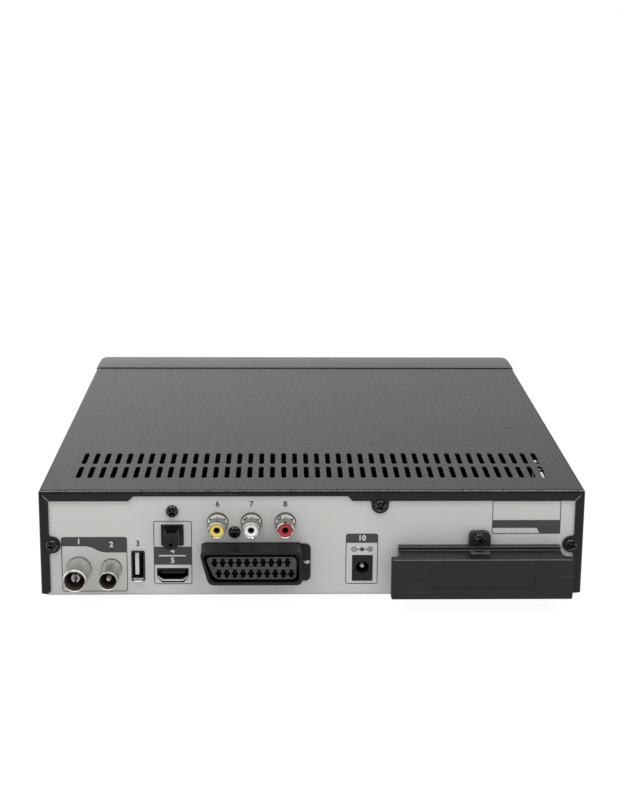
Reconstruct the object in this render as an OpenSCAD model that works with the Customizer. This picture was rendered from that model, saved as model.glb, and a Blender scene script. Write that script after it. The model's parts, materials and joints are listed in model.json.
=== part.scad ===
// Television decoder box: steel pan and cover, moulded front, socket panel at the back.
// Millimetres, +Z up, front towards -Y, socket panel towards +Y.
// Places on the socket panel are counted as seen from behind, so left there is +X.

/* [Body] */
// Width over the steel cover
body_w = 260; // [257:1:320]
// Depth of the steel cover from its rear flange to the front seam
cover_d = 200; // [190:1:240]
// Height of the body without its feet
body_h = 54; // [53:0.5:65]
// Sheet thickness of the cover
cover_t = 1; // [0.8:0.1:1.2]
// Sheet thickness of the pan and the socket panel
pan_t = 1; // [0.8:0.1:1.2]
// Inside radius of the sheet bends
bend_r = 0.8; // [0.4:0.1:1.2]
// Height of the lips along the sides and front of the pan
lip_h = 9; // [6:0.5:12]
// Height of the rubber feet
foot_h = 3; // [2:0.5:8]
// Radius of the rubber feet
foot_r = 7; // [5:0.5:9]
// Distance of the feet from the sides and ends
foot_inset = 22; // [16:1:30]

/* [Cover] */
// Width of the flanges beside the socket panel
side_flange = 4.6; // [4:0.1:5]
// Depth of the flange over the socket panel
top_flange = 5.3; // [4.2:0.1:5.6]
// Depth of that flange where it is cut back
low_flange = 2.9; // [2:0.1:3.6]
// Start of the cut-back stretch from the left edge
low_from = 44.9; // [40:0.1:60]
// End of the cut-back stretch from the left edge
low_to = 146.5; // [130:0.1:150]
// Radius of the screw ears
ear_r = 4.1; // [3.8:0.1:4.4]
// Fillet where an ear meets its flange
ear_fillet = 1.2; // [0.4:0.1:1.6]
// Open slot at the flange corners
mitre_gap = 0.9; // [0.4:0.1:1.4]
// Gap under the lower edge of the cover
cover_lift = 1.6; // [0.6:0.1:3]
// Distance of the side screws from the cover's sides
side_screw_in = 5.9; // [5.5:0.1:6.5]
// Height of the side screws
side_screw_z = 26.5; // [23:0.5:30.5]
// Place of the top screw from the left edge
top_screw_from = 162; // [156:0.5:190]
// Drop of the top screw below the cover's top
top_screw_drop = 7.5; // [7:0.1:8.4]

/* [Vents] */
// Width of a vent slot
vent_w = 2.5; // [1.5:0.1:3.5]
// Length of a vent slot
vent_l = 15; // [8:0.5:17]
// Distance from slot to slot
vent_pitch = 5.54; // [4.6:0.02:8]
// Least distance of a slot's axis from the cover's side
vent_margin = 15; // [8:0.5:40]
// Rows of slots in the cover
vent_rows = 2; // [1:1:4]
// Distance from row to row
vent_row_pitch = 18.7; // [18:0.1:26]
// Distance of the first row from the rear edge
vent_from_rear = 16.4; // [8:0.2:30]

/* [Antenna sockets] */
// Place of the aerial input from the left edge
ant_from = 18.3; // [17:0.1:20]
// Distance from the aerial input to the output
ant_pitch = 15.6; // [14:0.1:16]
// Height of both sockets
ant_z = 14.3; // [13.2:0.1:16.8]
// How far they stand out of the panel
ant_reach = 14.4; // [13:0.1:18]
// Outer radius of the input
ant_r = 5.8; // [5.4:0.05:6.2]
// Bore radius of the input
ant_bore_r = 4.76; // [4.5:0.02:4.8]
// Outer radius of the output
out_r = 4.75; // [4.7:0.01:4.8]
// Bore radius of the output
out_bore_r = 4; // [3.8:0.05:4.1]

/* [Data sockets] */
// Place of the upright serial socket from the left edge
usb_from = 46.6; // [46:0.1:50]
// Height of its middle
usb_z = 16.2; // [15.4:0.1:18.8]
// Width of its shell
usb_w = 5.7; // [5.3:0.1:6]
// Height of its shell
usb_h = 13.5; // [12.8:0.1:13.8]
// Place of the video and optical sockets from the left edge
hdmi_from = 63.1; // [62.5:0.1:66]
// Height of the middle of the video socket
hdmi_z = 11.4; // [11.2:0.1:12.2]
// Width of its shell
hdmi_w = 14.8; // [14.6:0.1:15]
// Height of its shell
hdmi_h = 5.4; // [5.2:0.1:5.6]
// Height of the middle of the optical socket
optical_z = 31.2; // [30.6:0.1:32.6]
// Outer size of the optical socket
optical_w = 10.3; // [10:0.1:10.6]
// Width of its dust cap
cap_w = 7.2; // [6.6:0.1:7.4]
// How far the dust cap stands out of the panel
cap_reach = 10; // [7:0.5:12]
// Height of the screw over the optical socket
optical_screw_z = 43.3; // [42.4:0.1:44.4]

/* [Picture and sound sockets] */
// Place of the first round socket from the left edge
rca_from = 84.7; // [83:0.1:86]
// Distance between the round sockets
rca_pitch = 16.1; // [15:0.1:16.5]
// Height of the round sockets
rca_z = 37.5; // [36.7:0.1:39.1]
// Radius of their barrels
rca_r = 4.15; // [4.1:0.01:4.2]
// How far they stand out of the panel
rca_reach = 10; // [9:0.2:11]
// Radius of the collar at the panel
rca_collar_r = 4.9; // [4.8:0.05:5.4]
// Place of the wide socket's left end from the left edge
scart_from = 76.3; // [75:0.1:77]
// Width of the wide socket
scart_w = 48.7; // [48:0.1:49]
// Height of the wide socket
scart_h = 16.8; // [16.2:0.1:17]
// Height of its middle
scart_z = 18.8; // [18.4:0.1:19]
// How far it stands out of the panel
scart_reach = 10.5; // [9:0.2:12]
// How far its left end slants in
scart_slant = 4.5; // [3:0.1:5]
// Distance from contact to contact
scart_pitch = 3.81; // [3.7:0.01:3.85]
// Width of the plain tab at its right end
tab_w = 4.1; // [3:0.1:5]

/* [Power socket] */
// Place of the power socket from the left edge
dc_from = 154; // [153:0.1:155]
// Width of its housing
dc_w = 9.5; // [9:0.1:10]
// Height of its housing
dc_h = 12.8; // [12:0.1:13.4]
// Radius of its opening
dc_hole_r = 3.2; // [2.8:0.1:3.4]
// Radius of its pin
dc_pin_r = 1.05; // [0.8:0.05:1.3]

/* [Drive bay] */
// Place of the bay's middle from the right edge
bay_from = 50.2; // [49.5:0.1:50.6]
// Clear width of the bay
bay_w = 72; // [70.4:0.1:73]
// Clear height of the bay
bay_h = 12; // [10:0.1:12.4]
// Clear depth of the bay
bay_d = 104; // [101:0.5:120]
// Height of the bay's floor
bay_z = 7.6; // [7.2:0.1:8]
// Sheet thickness of the cage
cage_t = 1; // [0.8:0.1:1.2]
// Width of the bay cover's front plate
lid_w = 85.8; // [84:0.1:87]
// Height of that plate
lid_h = 19.8; // [19.4:0.1:20.2]
// Height of its lower edge
lid_z = 5; // [4.9:0.1:5.5]
// Thickness of that plate
lid_plate = 4; // [3:0.1:5]
// How far the cover stands out of the panel
lid_reach = 14.4; // [12:0.2:15]
// Width of the cover behind its plate
lid_body_w = 77.5; // [77:0.1:79]
// Wall thickness of the cover
lid_wall = 1.8; // [1.4:0.1:2]
// Thickness of the rim and screw tab at the panel
rim_t = 2.8; // [2:0.1:3.4]
// Height of the rim over the cover's top
rim_rise = 1.5; // [1.2:0.1:3]
// Width of the screw tab
lid_tab_w = 10.2; // [9:0.1:12]
// Height of the screw over the bay
lid_screw_z = 30.5; // [30.1:0.1:31.1]

/* [Front] */
// Depth of the moulded front
bezel_d = 32; // [27:0.5:36]
// Seam between the front and the cover
seam_gap = 0.7; // [0.4:0.1:1.2]
// Wall thickness of the front
bezel_wall = 2.4; // [2:0.1:3]
// Corner radius of the front seen from above
bezel_corner_r = 10; // [6:0.5:12]
// Edge radius along the top of the front
bezel_edge_r = 4; // [3.5:0.5:6]
// Drop of the front's crowned top from the seam to its edge
bezel_crown = 1.6; // [0.4:0.1:2.4]
// Width of the display window
lens_w = 136; // [110:1:150]
// Height of the display window
lens_h = 20; // [16:0.5:22]
// Corner radius of the display window
lens_r = 4; // [1:0.5:6]
// Radius of the standby button
standby_r = 7; // [5:0.1:8]
// Radius of the channel buttons
channel_r = 4.6; // [3.5:0.1:5]
// Distance of the standby button from the middle
standby_x = 96; // [90:1:104]
// Distance of the channel buttons' middle from the middle
channel_x = 97; // [94:1:104]
// Distance between the channel buttons
channel_pitch = 15; // [14:0.5:18]
// How far the buttons stand out
button_rise = 1.2; // [0.6:0.1:2]
// Travel of the buttons
button_travel = 0.8; // [0.4:0.1:1.2]

/* [Inside] */
// Height of the standoffs under the main board
standoff_h = 5.2; // [4.8:0.1:5.4]
// Thickness of the boards
board_t = 1.6; // [1.2:0.1:1.8]
// Depth of the main board
board_d = 150; // [140:1:160]
// Depth of the tuner can
tuner_d = 46; // [36:1:60]
// Height of the tuner can
tuner_h = 19; // [19:0.5:24]
// Width of the heat sink
sink_w = 38; // [30:1:44]
// Height of the heat sink
sink_h = 16; // [10:0.5:20]
// Number of fins
sink_fins = 9; // [5:1:11]

/* [Fits] */
// Gap around sockets in their cut-outs
hole_gap = 0.25; // [0.2:0.05:0.4]
// Gap around pieces that move
move_gap = 0.35; // [0.3:0.05:0.5]
// Gap between pressed or glued pieces
press_gap = 0.05; // [0.02:0.01:0.1]
// Radius of the screws
screw_r = 1.5; // [1.2:0.05:1.6]
// Radius of the screw heads
head_r = 3; // [2.6:0.1:3.2]

/* [Hidden] */
$fn = 64;
through = 1;
pan_z = foot_h;
ear_hole_r = screw_r + hole_gap;
thread_r = screw_r + press_gap;
head_h = head_r * 0.68;
cross_w = head_r * 0.3;
shank_l = 6;
pan_corner_r = 2.4;
lip_relief = 6;
flange_cut = 1.2;
reach_past = max(ant_reach, lid_reach) - cover_t;
overall_d = button_rise + bezel_d + seam_gap + cover_d + reach_past;
rear_y = overall_d / 2 - reach_past;
panel_y = rear_y - cover_t;
seam_y = rear_y - cover_d;
bezel_y = seam_y - seam_gap;
front_y = bezel_y - bezel_d;
pan_w = body_w - 2 * (cover_t + bend_r + press_gap);
pan_d = cover_d - cover_t + seam_gap;
panel_h = body_h - cover_t - bend_r - press_gap;
board_v = pan_t + standoff_h;
board_top = board_v + board_t;
board_rear_gap = 0.4;
behind = pan_t + board_rear_gap;
// Places from the left edge are given for this width, and spread out or close up with the body
dc_gap = 14.05;
layout_w = dc_from + dc_w / 2 + dc_gap + cage_t + bay_w / 2 + bay_from;
spread = body_w / layout_w;
ant_u = ant_from * spread - body_w / 2;
out_u = ant_u + ant_pitch;
usb_u = usb_from * spread - body_w / 2;
hdmi_u = hdmi_from * spread - body_w / 2;
rca_u = rca_from * spread - body_w / 2;
scart_u = scart_from * spread + scart_w / 2 - body_w / 2;
dc_u = dc_from * spread - body_w / 2;
dc_z = board_top + dc_h / 2;
bay_u = body_w / 2 - bay_from;
top_screw_u = top_screw_from * spread - body_w / 2;
side_screw_u = body_w / 2 - side_screw_in;
top_screw_z = body_h - top_screw_drop;
rca_screw_u = rca_u + rca_pitch / 2;
rca_screw_drop = 4.8;
rca_screw_z = rca_z - rca_screw_drop;
// Main board and what stands on it
board_side_gap = 4.7;
board_cage_gap = 3.5;
board_left = pan_t + board_side_gap - pan_w / 2;
board_right = bay_u - bay_w / 2 - cage_t - board_cage_gap;
board_inset = 5;
board_screw_depth = 62;
mid_screw_in = 14;
mid_screw_depth = 30;
board_head_h = 1.8;
board_shank = 3;
standoff_r = 3;
tuner_side = 2;
can_t = 0.6;
chip_in = 59.3;
chip_depth = 84;
chip_w = 27;
chip_t = 2.2;
sink_base = 3;
memory_w = 11;
memory_l = 14;
memory_t = 1.2;
memory_side = 38;
memory_step = 20;
memory_back = 28;
large_cap_r = 5;
large_cap_h = 14;
small_cap_r = 4;
small_cap_h = 12;
slim_cap_r = 3.2;
slim_cap_h = 9;
cap_recess = 0.4;
cap_row = 16;
cap_depth = 40;
cap_in = 23.3;
coil_w = 10;
coil_h = 6;
coil_r = 3.4;
coil_in = 34;
coil_depth = 46;
// Socket shells, tongues and contacts
socket_d = 13;
root_step = 0.2;
shell_t = 0.45;
shell_root = 3;
shell_chamfer = 0.3;
nose_rim = 0.4;
ant_nose = 1.6;
rca_nose = 1;
insulator_d = 6;
ant_contact_r = 2.1;
ant_contact_bore = 1.2;
ant_contact_slit = 0.4;
ant_pin_r = 1.2;
usb_proud = 0.5;
usb_tongue_t = 1.8;
usb_tongue_h = 11.2;
usb_tongue_in = 1.5;
tongue_recess = 1;
usb_root_w = 2.2;
hdmi_proud = 0.3;
hdmi_slope_w = 2.6;
hdmi_tongue_w = 11.6;
hdmi_tongue_t = 1.2;
hdmi_root_w = 8;
root_d = 2;
leg_w = 1.6;
block_d = 14;
optical_d = 18;
optical_proud = 0.8;
optical_bore_d = 8;
optical_corner_r = 0.8;
plug_in = 0.8;
cap_rise = 0.5;
cap_hole_r = 1;
cap_dent = 1.6;
rca_wall = 0.85;
rca_hole_r = 1.6;
rca_root = 5.5;
rca_notch_r = 0.5;
rca_notch_turn = 38;
rca_block_side = 6.5;
rca_block_top = 7;
dc_d = 12;
dc_proud = 0.3;
dc_hole_rise = 0.4;
dc_floor = 2;
dc_tip = 0.7;
// Wide socket
scart_floor = 0.4;
scart_recess = 0.7;
scart_blade_t = 0.5;
scart_shift = -0.15;
tab_t = 1;
tab_drop = 1.3;
tab_rise = 1.9;
tab_r = 2.4;
scart_wall = 1.4;
scart_gap = 1.4;
cavity_d = 8.6;
slot_w = 1.75;
slot_h = 4.2;
slot_bar_w = 3.1;
slot_bar_h = 1.2;
slot_rows = 5.5;
slots = 10;
cage_z = bay_z - cage_t;
lid_top = lid_z + lid_h;
lid_step = 1.2;
lid_body_z = lid_z + lid_step;
lid_hollow_h = lid_top - lid_body_z - 2 * lid_wall;
lid_fillet = max(press_gap, (lid_w - lid_body_w) / 2);
lid_ear_gap = 1.45;
lid_u = side_screw_u - ear_r - lid_ear_gap - lid_body_w / 2;
lid_edge_r = 0.9;
lid_top_step = 0.2;
tab_over = 3.1;
lid_tab_r = 2.5;
hook_w = 10;
hook_t = 1.4;
hook_l = 2;
hook_in = 5;
hook_root = lid_reach - lid_plate;
mark_dent = 0.25;
cage_foot_w = 9;
cage_relief = 3;
plug_w = 40;
plug_h = 5;
plug_z = 1.2;
plug_wall = 1;
plug_slot_h = 1.4;
vent_count = floor((body_w - 2 * vent_margin) / vent_pitch) + 1;
front_in_y = front_y + bezel_wall;
front_board_gap = 11;
front_board_y = front_in_y + front_board_gap;
front_mid = body_h / 2;
standby_at = standby_x * spread;
channel_at = channel_x * spread;
front_board_in = 15.6;
front_board_h = 32;
front_boss_in = 31;
front_boss_drop = 11;
lip_screw_in = 52;
lip_screw_z = 5;
boss_spare = 4;
switch_w = 6;
switch_h = 3.5;
plunger_r = 1.75;
plunger_h = 1;
flange_t = 1.4;
lens_flange = 2;
lens_proud = 0.3;
button_flange = 1.1;
button_chamfer = 0.5;
stem_r = 1.8;
display_off = 13.6;
display_w = 50;
display_h = 16;
display_t = 8;
digit_w = 8;
digit_h = 12;
digit_pitch = 12;
digit_recess = 0.6;
eye_off = 49;
eye_w = 6;
eye_h = 7;
eye_t = 4;
eye_r = 2.4;
eye_corner_r = 0.8;
ribbon_w = 20;
ribbon_off = 12;
ribbon_t = 0.5;
ribbon_z = 22;
ribbon_plug = 4;
tongue_t = 1.6;
tongue_root = 2;
tongue_reach = 5;
tongue_in = 26;
side_tongue_h = 22;
bottom_vents = 12;
bottom_vent_l = 24;
bottom_vent_pitch = 6.6;
bottom_vent_from = 80;
bottom_vent_step = 40;
grip_r = 9;
grip_step = 1.1;
mark_w = 50;
mark_h = 8.8;

module on_panel(u, v, out = 0) {
  translate([0, panel_y, pan_z])
    rotate([90, 0, 180])
      translate([u, v, out])
        children();
}

module on_board(u, depth) {
  translate([-u, panel_y - depth, pan_z + board_top])
    children();
}

module on_front(x, v, y = 0) {
  translate([x, y, pan_z + v])
    rotate([90, 0, 0])
      children();
}

module rounded_rect(w, h, r) {
  square([w - 2 * r, h], center = true);
  square([w, h - 2 * r], center = true);
  for (sx = [-1, 1], sy = [-1, 1])
    translate([sx * (w / 2 - r), sy * (h / 2 - r)])
      circle(r);
}

module arch(w, h, r) {
  translate([-w / 2, 0])
    square([w, h - r]);
  translate([r - w / 2, 0])
    square([w - 2 * r, h]);
  for (s = [-1, 1])
    translate([s * (w / 2 - r), h - r])
      circle(r);
}

module one_round(w, h, r) {
  translate([-w, 0])
    square([w, h - r]);
  translate([-w, 0])
    square([w - r, h]);
  translate([-r, h - r])
    circle(r);
}

function unit(v) = v / norm(v);

function corner(a, p, b, cut, n) = [
  for (i = [0:n])
    let (s = i / n, from = p + cut * unit(a - p), to = p + cut * unit(b - p))
      (1 - s) * (1 - s) * from + 2 * s * (1 - s) * p + s * s * to
];

function soft_path(pts, cuts, n = 6) = [
  for (k = [0:len(pts) - 1])
    each corner(pts[(k + len(pts) - 1) % len(pts)], pts[k], pts[(k + 1) % len(pts)], cuts[k], n)
];

// Rounded front edge of a turned shell, from its rim to its outer wall
function nose(r, w, reach, l) = [
  for (a = [90:-15:0])
    [r - w + w * cos(a), reach - l + l * sin(a)]
];

// Side of the moulded front: seam at 0, crowned top, rounded lower and upper edges
function front_side(d, h, top, crown) = concat(
  [[0, 0]],
  corner([0, 0], [d, 0], [d, h], top / 2, 6),
  corner([d, 0], [d, h - crown], [d / 2, h], top, 6),
  [for (i = [5:-1:0]) [d * i / 8, h - crown * i * i / 64]]
);

module pan_screw() {
  difference() {
    union() {
      intersection() {
        cylinder(r = head_r, h = head_h);
        translate([0, 0, head_h - head_r * 1.6])
          sphere(r = head_r * 1.6);
      }
      translate([0, 0, -shank_l])
        cylinder(r = screw_r - press_gap, h = shank_l + 0.2);
    }
    for (a = [0, 90])
      rotate(a)
        translate([-head_r * 0.6, -cross_w / 2, head_h * 0.35])
          cube([head_r * 1.2, cross_w, head_h]);
  }
}

module cover_block(w, d, h, r) {
  intersection() {
    rotate([90, 0, 0])
      linear_extrude(d)
        arch(w, h, r);
    translate([-w / 2, 0, 0])
      rotate([90, 0, 90])
        linear_extrude(w)
          one_round(d, h, r);
    translate([0, -d, 0])
      linear_extrude(h)
        arch(w, d, r);
  }
}

module ear(reach) {
  circle(ear_r);
  translate([-ear_r, 0])
    square([2 * ear_r, reach + through]);
  difference() {
    translate([-ear_r - ear_fillet, reach - ear_fillet])
      square([2 * (ear_r + ear_fillet), ear_fillet + through]);
    for (s = [-1, 1])
      translate([s * (ear_r + ear_fillet), reach - ear_fillet])
        circle(ear_fillet);
  }
}

module panel_window() {
  half = body_w / 2 - side_flange;
  wide = half + flange_cut;
  deep = body_h - top_flange;
  low = body_h - low_flange;
  step = top_flange - low_flange;
  low_l = low_from * spread - body_w / 2;
  low_r = low_to * spread - body_w / 2;
  difference() {
    polygon([[-wide, -through], [wide, -through], [wide, cover_lift], [half, cover_lift + flange_cut],
      [half, deep], [low_r + step, deep], [low_r, low], [low_l, low], [low_l - step, deep],
      [-half, deep], [-half, cover_lift + flange_cut], [-wide, cover_lift]]);
    for (s = [-1, 1])
      translate([s * side_screw_u, side_screw_z])
        rotate(-s * 90)
          ear(side_flange * -1 + side_screw_in);
    translate([top_screw_u, top_screw_z])
      ear(top_screw_drop - top_flange);
  }
  for (s = [-1, 1])
    translate([s * half, deep])
      rotate(s > 0 ? 45 : 135)
        translate([-through, -mitre_gap / 2])
          square([through + (side_flange - cover_t - bend_r) * sqrt(2), mitre_gap]);
}

module screw_places() {
  for (s = [-1, 1])
    translate([s * side_screw_u, side_screw_z])
      children();
  translate([top_screw_u, top_screw_z])
    children();
}

module slot(w, l) {
  translate([-w / 2, w / 2])
    square([w, l - w]);
  for (y = [w / 2, l - w / 2])
    translate([0, y])
      circle(w / 2);
}

module top_cover() {
  color([0.16, 0.16, 0.17])
    difference() {
      translate([0, rear_y, pan_z + cover_lift])
        cover_block(body_w, cover_d, body_h - cover_lift, bend_r + cover_t);
      translate([0, panel_y, pan_z + cover_lift - through])
        cover_block(body_w - 2 * cover_t, cover_d + through,
          body_h - cover_lift + through - cover_t, bend_r);
      on_panel(0, 0, -0.1)
        linear_extrude(cover_t + through)
          panel_window();
      on_panel(0, 0, -through)
        linear_extrude(cover_t + 2 * through)
          screw_places()
            circle(ear_hole_r);
      translate([0, 0, pan_z + body_h - cover_t - through])
        linear_extrude(cover_t + 2 * through)
          for (row = [0:vent_rows - 1], i = [0:vent_count - 1])
            translate([(i - (vent_count - 1) / 2) * vent_pitch,
              rear_y - vent_from_rear - vent_l - row * vent_row_pitch])
              slot(vent_w, vent_l);
    }
}

module hdmi_outline(grow) {
  a = hdmi_w / 2 + grow;
  top = hdmi_h / 2 + grow;
  shoulder = -0.12 * hdmi_h;
  floor_w = a - hdmi_slope_w;
  polygon([[-a, top], [-a, shoulder], [-floor_w, -top], [floor_w, -top], [a, shoulder], [a, top]]);
}

function scart_points(inset) = soft_path([
  [inset - scart_w / 2, scart_h / 2 - inset], [scart_w / 2 - inset, scart_h / 2 - inset],
  [scart_w / 2 - inset, inset - scart_h / 2], [inset + scart_slant - scart_w / 2, inset - scart_h / 2]],
  [3.4, 2.4, 2.8, 2.8]);

module panel_holes() {
  translate([ant_u, ant_z])
    circle(ant_r + hole_gap);
  translate([out_u, ant_z])
    circle(out_r + hole_gap);
  translate([usb_u, usb_z])
    square([usb_w + 2 * hole_gap, usb_h + 2 * hole_gap], center = true);
  translate([hdmi_u, hdmi_z])
    hdmi_outline(hole_gap);
  translate([hdmi_u, optical_z])
    square(optical_w + 2 * hole_gap, center = true);
  for (i = [0:2])
    translate([rca_u + i * rca_pitch, rca_z])
      circle(rca_collar_r + hole_gap);
  translate([scart_u, scart_z])
    polygon(scart_points(-hole_gap));
  translate([dc_u, dc_z])
    square([dc_w + 2 * hole_gap, dc_h + 2 * hole_gap], center = true);
  translate([bay_u - bay_w / 2, bay_z])
    square([bay_w, bay_h]);
  screw_places()
    circle(thread_r);
  translate([hdmi_u, optical_screw_z])
    circle(ear_hole_r);
  translate([rca_screw_u, rca_screw_z])
    circle(ear_hole_r);
  translate([bay_u, lid_screw_z])
    circle(ear_hole_r);
}

module chassis_pan() {
  color([0.74, 0.75, 0.73])
    difference() {
      union() {
        translate([-pan_w / 2, panel_y, pan_z])
          rotate([90, 0, 90])
            linear_extrude(pan_w)
              difference() {
                mirror([0, 1])
                  translate([0, -panel_h])
                    one_round(pan_d, panel_h, bend_r + pan_t);
                translate([-pan_t, panel_h + pan_t])
                  mirror([0, 1])
                    one_round(pan_d, panel_h, bend_r);
              }
        for (s = [0, 1])
          mirror([s, 0, 0])
            translate([pan_w / 2 - pan_t, panel_y - pan_d, pan_z])
              cube([pan_t, pan_d - lip_relief, lip_h]);
        translate([-pan_w / 2, panel_y - pan_d, pan_z])
          cube([pan_w, pan_t, lip_h]);
      }
      on_panel(0, 0, -pan_t - through)
        linear_extrude(pan_t + 2 * through)
          panel_holes();
      front_lip_places(bezel_y + pan_t + through)
        cylinder(r = ear_hole_r, h = pan_t + 2 * through);
      on_panel(0, 0, -lip_relief + through)
        linear_extrude(lip_relief)
          for (s = [0, 1])
            mirror([s, 0])
              translate([-pan_w / 2, 0])
                difference() {
                  translate([-through, -through])
                    square(pan_corner_r + through);
                  translate([pan_corner_r, pan_corner_r])
                    circle(pan_corner_r);
                }
      translate([0, 0, pan_z - through])
        linear_extrude(pan_t + 2 * through)
          for (row = [0, 1], i = [0:bottom_vents - 1])
            translate([(i + 0.5) * bottom_vent_pitch, panel_y - bottom_vent_from - row * bottom_vent_step])
              slot(vent_w, bottom_vent_l);
    }
}

module feet() {
  color([0.07, 0.07, 0.07])
    for (sx = [-1, 1], y = [rear_y - foot_inset, seam_y + foot_inset])
      translate([sx * (body_w / 2 - foot_inset), y, 0])
        rotate_extrude()
          polygon([[1.5, foot_h * 0.3], [foot_r * 0.5, foot_h * 0.3], [foot_r * 0.6, 0], [foot_r * 0.92, 0],
            [foot_r, foot_h * 0.4], [foot_r, foot_h], [1.5, foot_h]]);
}

module cover_screws() {
  color([0.05, 0.05, 0.05])
    on_panel(0, 0, cover_t)
      screw_places()
        pan_screw();
}

module panel_screws() {
  color([0.05, 0.05, 0.05]) {
    on_panel(hdmi_u, optical_screw_z)
      pan_screw();
    on_panel(rca_screw_u, rca_screw_z)
      pan_screw();
  }
}

module bezel_block(inset, back) {
  w = body_w - 2 * inset;
  d = bezel_d - inset + back;
  top = max(shell_chamfer, bezel_edge_r - inset);
  corner_r = bezel_corner_r - inset;
  h = body_h - 2 * inset;
  translate([0, bezel_y + back, pan_z + inset])
    intersection() {
      mirror([0, 1, 0])
        linear_extrude(h)
          arch(w, d, corner_r);
      translate([-w / 2, 0, 0])
        rotate([90, 0, 90])
          linear_extrude(w)
            mirror([1, 0])
              polygon(front_side(d, h, top, bezel_crown));
    }
}

module front_boss_places(y) {
  for (s = [-1, 1])
    on_front(s * (body_w / 2 - front_boss_in), front_mid - front_boss_drop, y)
      children();
}

module front_lip_places(y) {
  for (s = [-1, 1])
    on_front(s * (body_w / 2 - lip_screw_in), lip_screw_z, y)
      children();
}

module screw_boss(h) {
  difference() {
    cylinder(r = 2 * screw_r, h = h);
    translate([0, 0, -through])
      cylinder(r = thread_r, h = shank_l + 2 * through);
  }
}

module front_screws() {
  color([0.7, 0.7, 0.7]) {
    front_boss_places(front_board_y + board_t)
      rotate([180, 0, 0])
        pan_screw();
    front_lip_places(bezel_y + pan_t)
      rotate([180, 0, 0])
        pan_screw();
  }
}

module front_panel() {
  color([0.11, 0.11, 0.12]) {
    difference() {
      bezel_block(0, 0);
      bezel_block(bezel_wall, through);
      on_front(0, front_mid, front_in_y + through)
        linear_extrude(bezel_wall + 2 * through)
          rounded_rect(lens_w, lens_h, lens_r);
      on_front(-standby_at, front_mid, front_in_y + through)
        cylinder(r = standby_r + move_gap, h = bezel_wall + 2 * through);
      for (s = [-1, 1])
        on_front(channel_at + s * channel_pitch / 2, front_mid, front_in_y + through)
          cylinder(r = channel_r + move_gap, h = bezel_wall + 2 * through);
    }
    front_boss_places(front_board_y)
      screw_boss(front_board_y - front_in_y + 0.1);
    front_lip_places(bezel_y)
      screw_boss(shank_l + boss_spare);
    translate([tongue_in - body_w / 2, bezel_y - tongue_root,
      pan_z + body_h - cover_t - press_gap - tongue_t])
      cube([body_w - 2 * tongue_in, tongue_root + seam_gap + tongue_reach, tongue_t]);
    for (s = [0, 1])
      mirror([s, 0, 0])
        translate([body_w / 2 - cover_t - press_gap - tongue_t, bezel_y - tongue_root,
          pan_z + lip_h + boss_spare])
          cube([tongue_t, tongue_root + seam_gap + tongue_reach, side_tongue_h]);
  }
}

module display_window() {
  color([0.05, 0.05, 0.06])
    on_front(0, front_mid, front_in_y) {
      linear_extrude(bezel_wall + lens_proud)
        rounded_rect(lens_w - 2 * press_gap, lens_h - 2 * press_gap, lens_r);
      translate([0, 0, -flange_t])
        linear_extrude(flange_t)
          rounded_rect(lens_w + 2 * lens_flange, lens_h + 2 * lens_flange, lens_r);
    }
}

module push_button(r) {
  stem = front_board_y - front_in_y - switch_h - plunger_h - button_travel - move_gap;
  face = bezel_wall + button_rise - button_chamfer;
  cylinder(r = r, h = face);
  translate([0, 0, face])
    cylinder(r1 = r, r2 = r - button_chamfer, h = button_chamfer);
  translate([0, 0, -move_gap])
    cylinder(r = r, h = 2 * move_gap);
  translate([0, 0, -move_gap - flange_t])
    cylinder(r = r + button_flange, h = flange_t);
  translate([0, 0, -stem])
    cylinder(r = stem_r, h = stem);
}

module standby_button() {
  color([0.62, 0.63, 0.65])
    on_front(-standby_at, front_mid, front_in_y)
      push_button(standby_r);
}

module channel_down_button() {
  color([0.62, 0.63, 0.65])
    on_front(channel_at - channel_pitch / 2, front_mid, front_in_y)
      push_button(channel_r);
}

module channel_up_button() {
  color([0.62, 0.63, 0.65])
    on_front(channel_at + channel_pitch / 2, front_mid, front_in_y)
      push_button(channel_r);
}

module front_board() {
  color([0.06, 0.22, 0.12])
    on_front(0, front_mid, front_board_y + board_t)
      difference() {
        linear_extrude(board_t)
          square([body_w - 2 * front_board_in, front_board_h], center = true);
        for (s = [-1, 1])
          translate([s * (body_w / 2 - front_boss_in), -front_boss_drop, -through])
            cylinder(r = ear_hole_r, h = board_t + 2 * through);
      }
}

module tact_switches() {
  color([0.1, 0.1, 0.1])
    for (x = [-standby_at, channel_at - channel_pitch / 2, channel_at + channel_pitch / 2])
      on_front(x, front_mid, front_board_y) {
        linear_extrude(switch_h)
          square(switch_w, center = true);
        cylinder(r = plunger_r, h = switch_h + plunger_h);
      }
}

module led_display() {
  color([0.12, 0.12, 0.12])
    on_front(-display_off, front_mid, front_board_y)
      difference() {
        linear_extrude(display_t)
          square([display_w, display_h], center = true);
        translate([0, 0, display_t - digit_recess])
          for (i = [-1.5, -0.5, 0.5, 1.5])
            translate([i * digit_pitch, 0, 0])
              linear_extrude(through)
                square([digit_w, digit_h], center = true);
      }
}

module ir_receiver() {
  color([0.09, 0.06, 0.07])
    on_front(eye_off, front_mid, front_board_y) {
      linear_extrude(eye_t)
        rounded_rect(eye_w, eye_h, eye_corner_r);
      translate([0, 0, eye_t])
        intersection() {
          sphere(r = eye_r);
          cylinder(r = 2 * eye_r, h = 2 * eye_r);
        }
    }
}

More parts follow.
